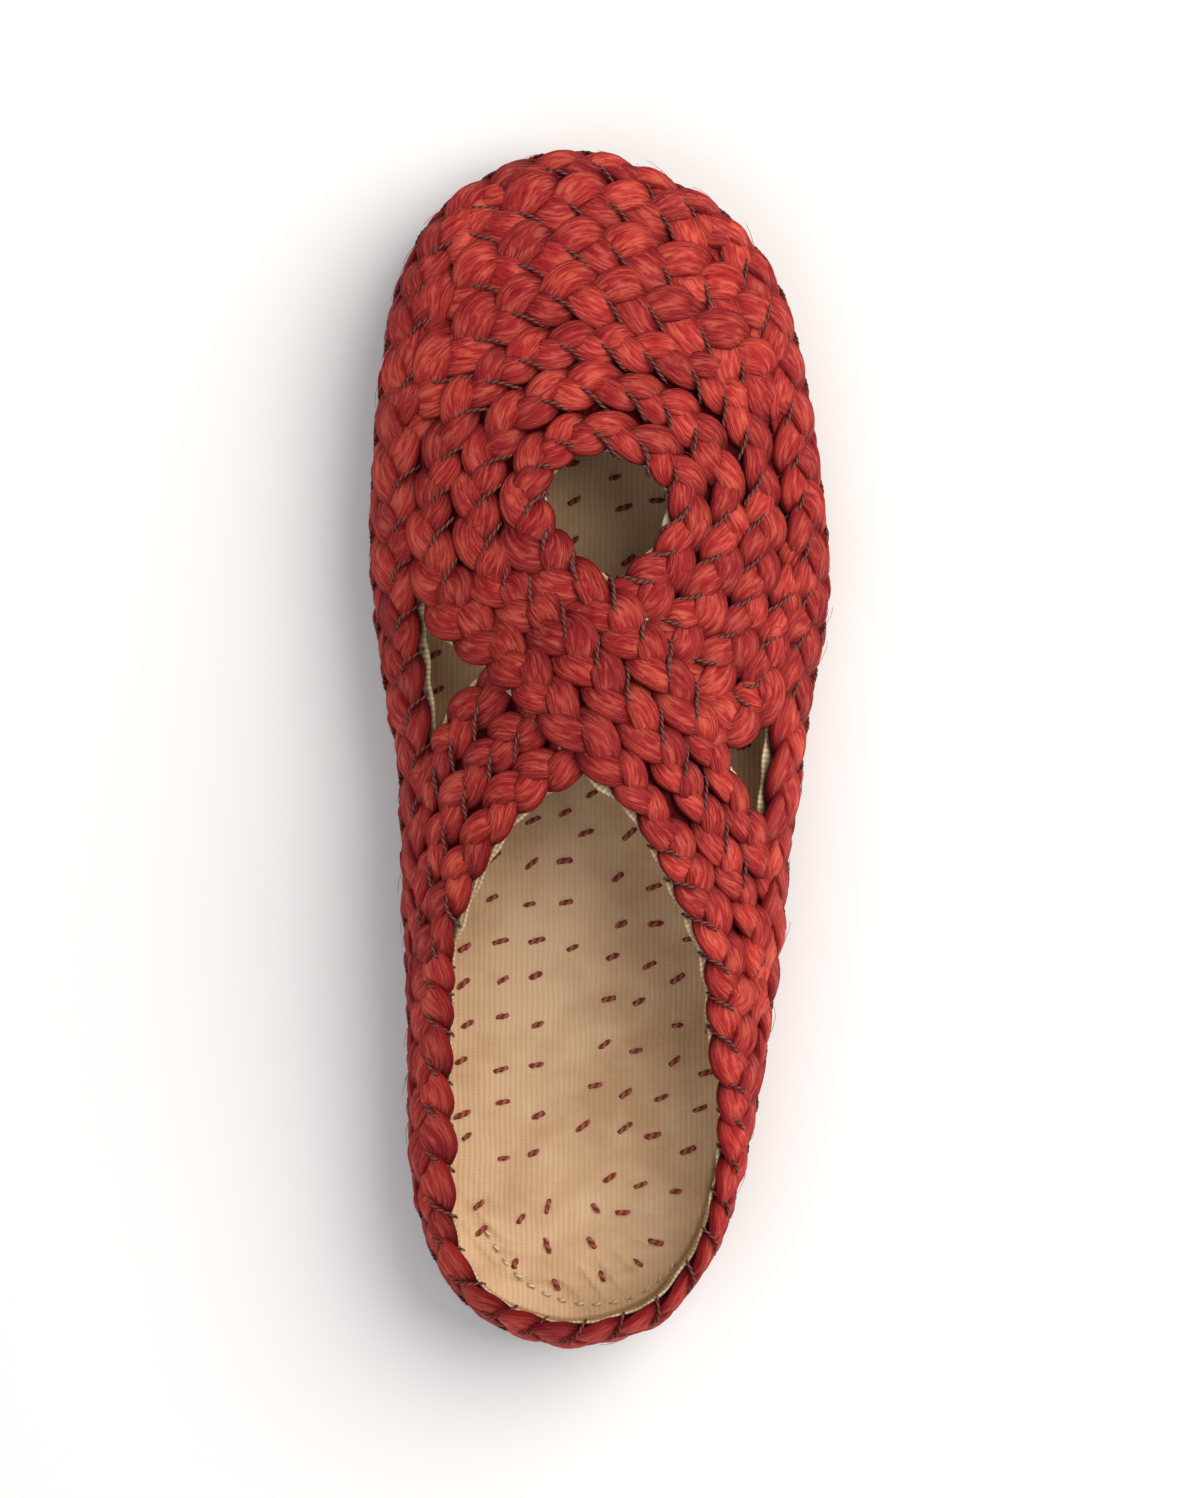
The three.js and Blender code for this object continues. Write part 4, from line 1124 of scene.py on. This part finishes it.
def polar_sheet(bundle, inset, height, shares, count=640):
    """A face that spans the shoe's inside, on rings round the ridge."""
    place = np.linspace(0, 4, count + 1)[:-1]
    origin, direction = last.rib(place)
    reach = last.at(last.reach, place) - inset
    rings = []
    for share in shares:
        plan = origin + direction * (reach * min(share, 1.0))[:, None]
        z = floor_lift(plan[:, 1]) + SOLE_THICKNESS + CLEARANCE + height(plan, reach * (1 - share), share)
        rings.append(np.column_stack([plan, z]))
    flange = origin + direction * (reach + 3.0)[:, None]  # goes in under the wall, so that no light comes through
    rings.append(np.column_stack([flange, floor_lift(flange[:, 1]) + SOLE_THICKNESS + CLEARANCE]))
    points = np.vstack(rings)
    i = np.arange(len(shares))[:, None] * count
    j = np.arange(count)[None]
    corners = [i + j, i + (j + 1) % count, i + count + (j + 1) % count, i + count + j]
    quads = np.stack(corners, axis=-1).reshape(-1, 4)[:, ::-1]
    bundle.add(points, quads, fibre=points)


def insole_top(plan, inward, share):
    """Canvas over the insole: rounded at the edge, creased at the heel where it was turned in."""
    edge = np.clip(inward / 2.2, 0, 1)
    body = INSOLE_THICKNESS * np.sqrt(np.clip(1 - (1 - edge) ** 2, 0, 1))
    heel = smoothstep(-plan[:, 1], 84, 108)
    x, y = plan[:, 0], plan[:, 1]
    fold = 1 - np.sqrt(np.abs(np.sin(0.35 * x + 0.5 * y + 1.4 * np.sin(0.23 * x))))
    fold = fold + 0.8 - 0.8 * np.sqrt(np.abs(np.sin(0.12 * x - 0.62 * y + 1.6 * np.sin(0.17 * x))))
    crease = 0.9 * fold * smoothstep(inward, 0.5, 4) * (1 - smoothstep(inward, 8, 14))
    turn = np.clip(1 - inward / 7.0, 0, 1)
    turned_up = 6.0 * (1 - np.sqrt(1 - 0.96 * turn**2))
    wave = 0.12 * np.sin(plan[:, 0] * 0.11 + 1.0) * np.sin(plan[:, 1] * 0.07)
    return body + heel * (crease + turned_up) + wave * np.clip(inward / 6, 0, 1)


inner = Bundle()
INSOLE_INSET = WALL + TUCK + CLEARANCE
shares = np.concatenate([[0.0], np.linspace(0.04, 0.94, 52), [0.96, 0.975, 0.99, 1.0]])
polar_sheet(inner, INSOLE_INSET, insole_top, shares)


def insole_surface(plan):
    """Height of the canvas at real plan points."""
    heel, toe = HEEL_CENTRE * LENGTH, TOE_CENTRE * LENGTH
    place, _ = last.place_of(plan)
    origin, _ = last.rib(place)
    out = np.linalg.norm(plan - origin, axis=1)
    reach = last.at(last.reach, place) - INSOLE_INSET
    return floor_lift(plan[:, 1]) + SOLE_THICKNESS + CLEARANCE + insole_top(plan, reach - out, out / reach)


def insole_stitches(bundle):
    """Dashes of maroon twine over the seams between the rounds of the sole's coil."""
    for inward in (6.5, 14.0, 21.5, 29.0, 36.5):
        place = np.linspace(0, 4, 1600)[:-1]
        origin, direction = last.rib(place)
        reach = last.at(last.reach, place) - INSOLE_INSET - inward
        keep = reach > 1.5
        line, outward = (origin + direction * reach[:, None])[keep], direction[keep]
        run = np.concatenate([[0], np.cumsum(np.linalg.norm(np.diff(line, axis=0), axis=1))])
        for at in np.arange(rng.uniform(2, 8), run[-1] - 4, 8.6):
            at += rng.uniform(-1.6, 1.6)
            middle = np.array([np.interp(at, run, line[:, 0]), np.interp(at, run, line[:, 1])])
            middle += rng.uniform(-0.9, 0.9, 2)
            away = np.array([np.interp(at, run, outward[:, 0]), np.interp(at, run, outward[:, 1])])
            heading = math.atan2(away[1], away[0]) + rng.uniform(0.05, 0.75)
            length = rng.uniform(2.1, 3.7)
            t = np.linspace(-0.5, 0.5, 9)
            plan = middle + np.outer(t * length, [math.cos(heading), math.sin(heading)])
            z = insole_surface(plan) + 0.30 - 0.95 * (2 * np.abs(t)) ** 4
            twine(bundle, np.column_stack([plan, z]), radius=rng.uniform(0.45, 0.6))


def heel_seam(bundle):
    """The canvas was sewn down by hand where it is turned in at the heel."""
    line = rounded(
        [(-24.0, -100.0), (-18.0, -109.0), (-10.0, -114.5), (0.0, -116.0), (10.0, -113.0), (18.0, -105.0)],
        np.linspace(0, 1, 300),
    )
    run = np.concatenate([[0], np.cumsum(np.linalg.norm(np.diff(line, axis=0), axis=1))])
    for start in np.arange(0.5, run[-1] - 3, 3.6):
        at = start + np.linspace(0, rng.uniform(1.9, 2.5), 8)
        plan = np.column_stack([np.interp(at, run, line[:, 0]), np.interp(at, run, line[:, 1])])
        _, s = last.place_of(plan)
        dip = np.abs(np.linspace(-1, 1, 8)) ** 4
        twine(bundle, np.column_stack([plan, insole_surface(plan) + 0.25 - 0.7 * dip]), radius=0.36)


insole_twine = Bundle()
insole_stitches(insole_twine)
seam_thread = Bundle()
heel_seam(seam_thread)


def above_rim(path):
    place, s = last.place_of(path)
    return last.at(last.length, place) - s - rim_up(place)


def lining_band(bundle, edge_out, edge_in, height=-WALL / 2 - 0.15, across=10, raise_by=None, free_in=0.0):
    """Canvas on the inside of a band of rows, turned over its free edges."""
    count = len(edge_out)
    shares = 0.5 - 0.5 * np.cos(math.pi * np.linspace(0, 1, across + 1))
    raise_by = np.zeros(count) if raise_by is None else raise_by
    layers = []
    breadth = np.linalg.norm(edge_in - edge_out, axis=1)
    free_out = smoothstep(above_rim(edge_out), 0, 4)
    free_in = free_in * smoothstep(above_rim(edge_in), 0, 4)
    for level in (height + LINING, height):
        grid = []
        for share in shares:
            at_out = free_out * (1 - smoothstep(share * breadth, 0, 4))
            at_in = free_in * (1 - smoothstep((1 - share) * breadth, 0, 4))
            drawn_up = np.maximum(at_out, at_in)
            spot = edge_out + (edge_in - edge_out) * share
            grid.append(last.surface(spot, level + raise_by + drawn_up)[0])
        layers.append(np.stack(grid, axis=1))
    ring = np.concatenate([layers[0], layers[1][:, ::-1]], axis=1)
    quads, tris = tube_faces(count, ring.shape[1], False)
    points = ring.reshape(-1, 3)
    run = np.concatenate([[0], np.cumsum(np.linalg.norm(np.diff(edge_out, axis=0), axis=1))])
    up = np.concatenate([shares, shares[::-1]])
    cloth = np.zeros((count, ring.shape[1], 3))
    cloth[..., 0], cloth[..., 1] = run[:, None], breadth[:, None] * up
    # tone: mostly painted shadow, for the dark sheet in the gaps; the canvas does not read it
    bundle.add(points, quads, tris, cloth.reshape(-1, 3), np.tile([0.3, 0.9, 0.8], (len(points), 1)))


def scallops(path, centre, amount):
    """A free edge of canvas that shows past the leaves in shallow curves."""
    run = np.concatenate([[0], np.cumsum(np.linalg.norm(np.diff(path, axis=0), axis=1))])
    outward = unit(path - centre)
    return path + outward * (amount + 0.35 * np.cos(run * 2 * math.pi / 9.0))[:, None]


lining = Bundle()
shadow_sheet = Bundle()
SHADOW_SHEET_HEIGHT = -1.5  # height of the dark sheet between the rows and the canvas, painted in shade for the gaps
t = np.linspace(0, 1, 180)
over_out, over_in = rounded(over_edges[0], t), rounded(over_edges[1], t)
under_out, under_in = rounded(under_edges[0], t), rounded(under_edges[1], t)


def behind_rim(path, depth=TUCKED + 2):
    """Keeps canvas from showing below the rows' ends."""
    place, s = last.place_of(path)
    up = np.maximum(last.at(last.length, place) - s, rim_up(place) - depth)
    return last.plan(place, up)


def line_band(edge_out, edge_in, show_out=0.0, show_in=0.0, raise_by=None, across=10):
    """Canvas under a band of rows, and a dark sheet of painted shade a little way in from its edges, for the gaps."""
    out = scallops(edge_out, edge_in, show_out) if show_out else edge_out
    inn = scallops(edge_in, edge_out, show_in) if show_in else edge_in
    lining_band(lining, behind_rim(out), behind_rim(inn), raise_by=raise_by, across=across, free_in=1.0)
    toward = unit(edge_in - edge_out)
    out, inn = edge_out + toward * (2.0 if show_out else 0), edge_in - toward * (2.0 if show_in else 0)
    lining_band(shadow_sheet, behind_rim(out), behind_rim(inn), height=SHADOW_SHEET_HEIGHT, raise_by=raise_by, across=across)


line_band(over_out, over_in, 0.3, 0.3, raise_by=rides_over(t))
line_band(under_out, under_in, 0.3, 0.3)
place = np.append(np.linspace(0, 4, 500)[:-1], 0)
foot = last.plan(place, np.full(len(place), 0.6))
top = last.plan(place, np.maximum(rim_up(place), first_row(place)))
lining_band(lining, scallops(top, foot, 0.1), foot, across=8)
lining_band(shadow_sheet, last.plan(place, np.maximum(rim_up(place), first_row(place)) - 2), foot, height=SHADOW_SHEET_HEIGHT, across=8)
place = np.linspace(collar_from - 0.16, collar_to + 0.16, 300) % 4
top = last.plan(place, collar_up(place))
foot = last.plan(place, first_row(place) - 5)
lining_band(lining, scallops(top, foot, -0.5), foot, across=14)
top = last.plan(place, collar_up(place) - 2)
ends = slice(26, -26)  # ends before the canvas does, so that the canvas covers it
lining_band(shadow_sheet, top[ends], foot[ends], height=SHADOW_SHEET_HEIGHT)
place, s = last.place_of(cap_line)
up = last.at(last.length, place) - s
top = last.plan(place, up + 2)
foot = last.plan(place, np.minimum(rim_up(place) - 1, up))
lining_band(lining, top, foot)
lining_band(shadow_sheet, top, foot, height=SHADOW_SHEET_HEIGHT)


# Pieces

pieces = {
    "welt_plait_raffia": welt.make("welt_plait_raffia", raffia, "upper_plait"),
    "toe_and_strap_rows": rows.make("toe_and_strap_rows", raffia, "upper_plait"),
    "ribbon_and_collar_rows": ribbon.make("ribbon_and_collar_rows", raffia, "upper_plait"),
    "shadow_sheet_under_rows": shadow_sheet.make("shadow_sheet_under_rows", raffia, "upper_plait"),
    "row_stitches": stitching.make("row_stitches", dark_twine, "upper_plait"),
    "edge_stitches": binding.make("edge_stitches", dark_twine, "upper_plait"),
    "sole_coil_raffia": sole.make("sole_coil_raffia", sole_raffia, "sole_plait"),
    "insole_cover": inner.make("insole_cover", insole_canvas, "canvas"),
    "insole_stitches": insole_twine.make("insole_stitches", red_twine, "canvas"),
    "canvas_lining": lining.make("canvas_lining", lining_canvas, "canvas"),
    "heel_seam_thread": seam_thread.make("heel_seam_thread", cream_thread, "canvas"),
    "loose_fibres": fuzz.make("loose_fibres", raffia, "upper_plait"),
}
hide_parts("welt_plait")
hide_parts("upper")
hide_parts("outsole")
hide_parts("insole")


# Floor, light and camera

def paper_floor():
    mesh = bpy.data.meshes.new("floor")
    half = 3.0
    mesh.from_pydata([(-half, -half, 0), (half, -half, 0), (half, half, 0), (-half, half, 0)], [], [(0, 1, 2, 3)])
    material, _, shader = new_material("matt white paper")
    shader.inputs["Base Color"].default_value = colour("#f7f7f7")
    shader.inputs["Roughness"].default_value = 0.95
    mesh.materials.append(material)
    floor = bpy.data.objects.new("floor", mesh)
    bpy.context.scene.collection.objects.link(floor)


def area_light(name, place, size, power, tint):
    data = bpy.data.lights.new(name, "AREA")
    data.shape = "DISK"
    data.size = size
    data.energy = power
    data.color = colour(tint)[:3]
    light = bpy.data.objects.new(name, data)
    light.location = place
    light.rotation_euler = (-Vector(place)).to_track_quat("-Z", "Y").to_euler()
    bpy.context.scene.collection.objects.link(light)


def photo_camera():
    """Straight above the pair, so a little to the medial side of this shoe."""
    data = bpy.data.cameras.new("camera")
    camera = bpy.data.objects.new("camera", data)
    place = Vector((-0.057, 0.0, 1.40))
    aim = Vector((0.0, 0.0, 0.015))
    ahead = (aim - place).normalized()
    up = Vector((0, 1, 0))
    right = ahead.cross(up).normalized()
    up = right.cross(ahead)
    camera.matrix_world = Matrix([
        (right.x, up.x, -ahead.x, place.x),
        (right.y, up.y, -ahead.y, place.y),
        (right.z, up.z, -ahead.z, place.z),
        (0, 0, 0, 1),
    ])
    data.sensor_fit = "VERTICAL"
    data.sensor_height = 24
    field = 0.312  # height of what the frame shows at the shoe
    data.lens = data.sensor_height / 2 / (field / 2 / (aim - place).length)
    data.clip_start = 0.01
    bpy.context.scene.collection.objects.link(camera)
    bpy.context.scene.camera = camera


paper_floor()
area_light("key", (0.85, 0.45, 1.15), 1.6, 24, "#fff9f2")
area_light("fill", (-0.6, -0.5, 1.3), 1.1, 4, "#f4f7ff")
world = bpy.data.worlds.new("studio")
world.use_nodes = True
world.node_tree.nodes["Background"].inputs["Color"].default_value = colour("#ffffff")
world.node_tree.nodes["Background"].inputs["Strength"].default_value = 0.42
bpy.context.scene.world = world
bpy.context.scene.view_settings.view_transform = "Standard"  # keeps the dyed red as deep as it is
photo_camera()
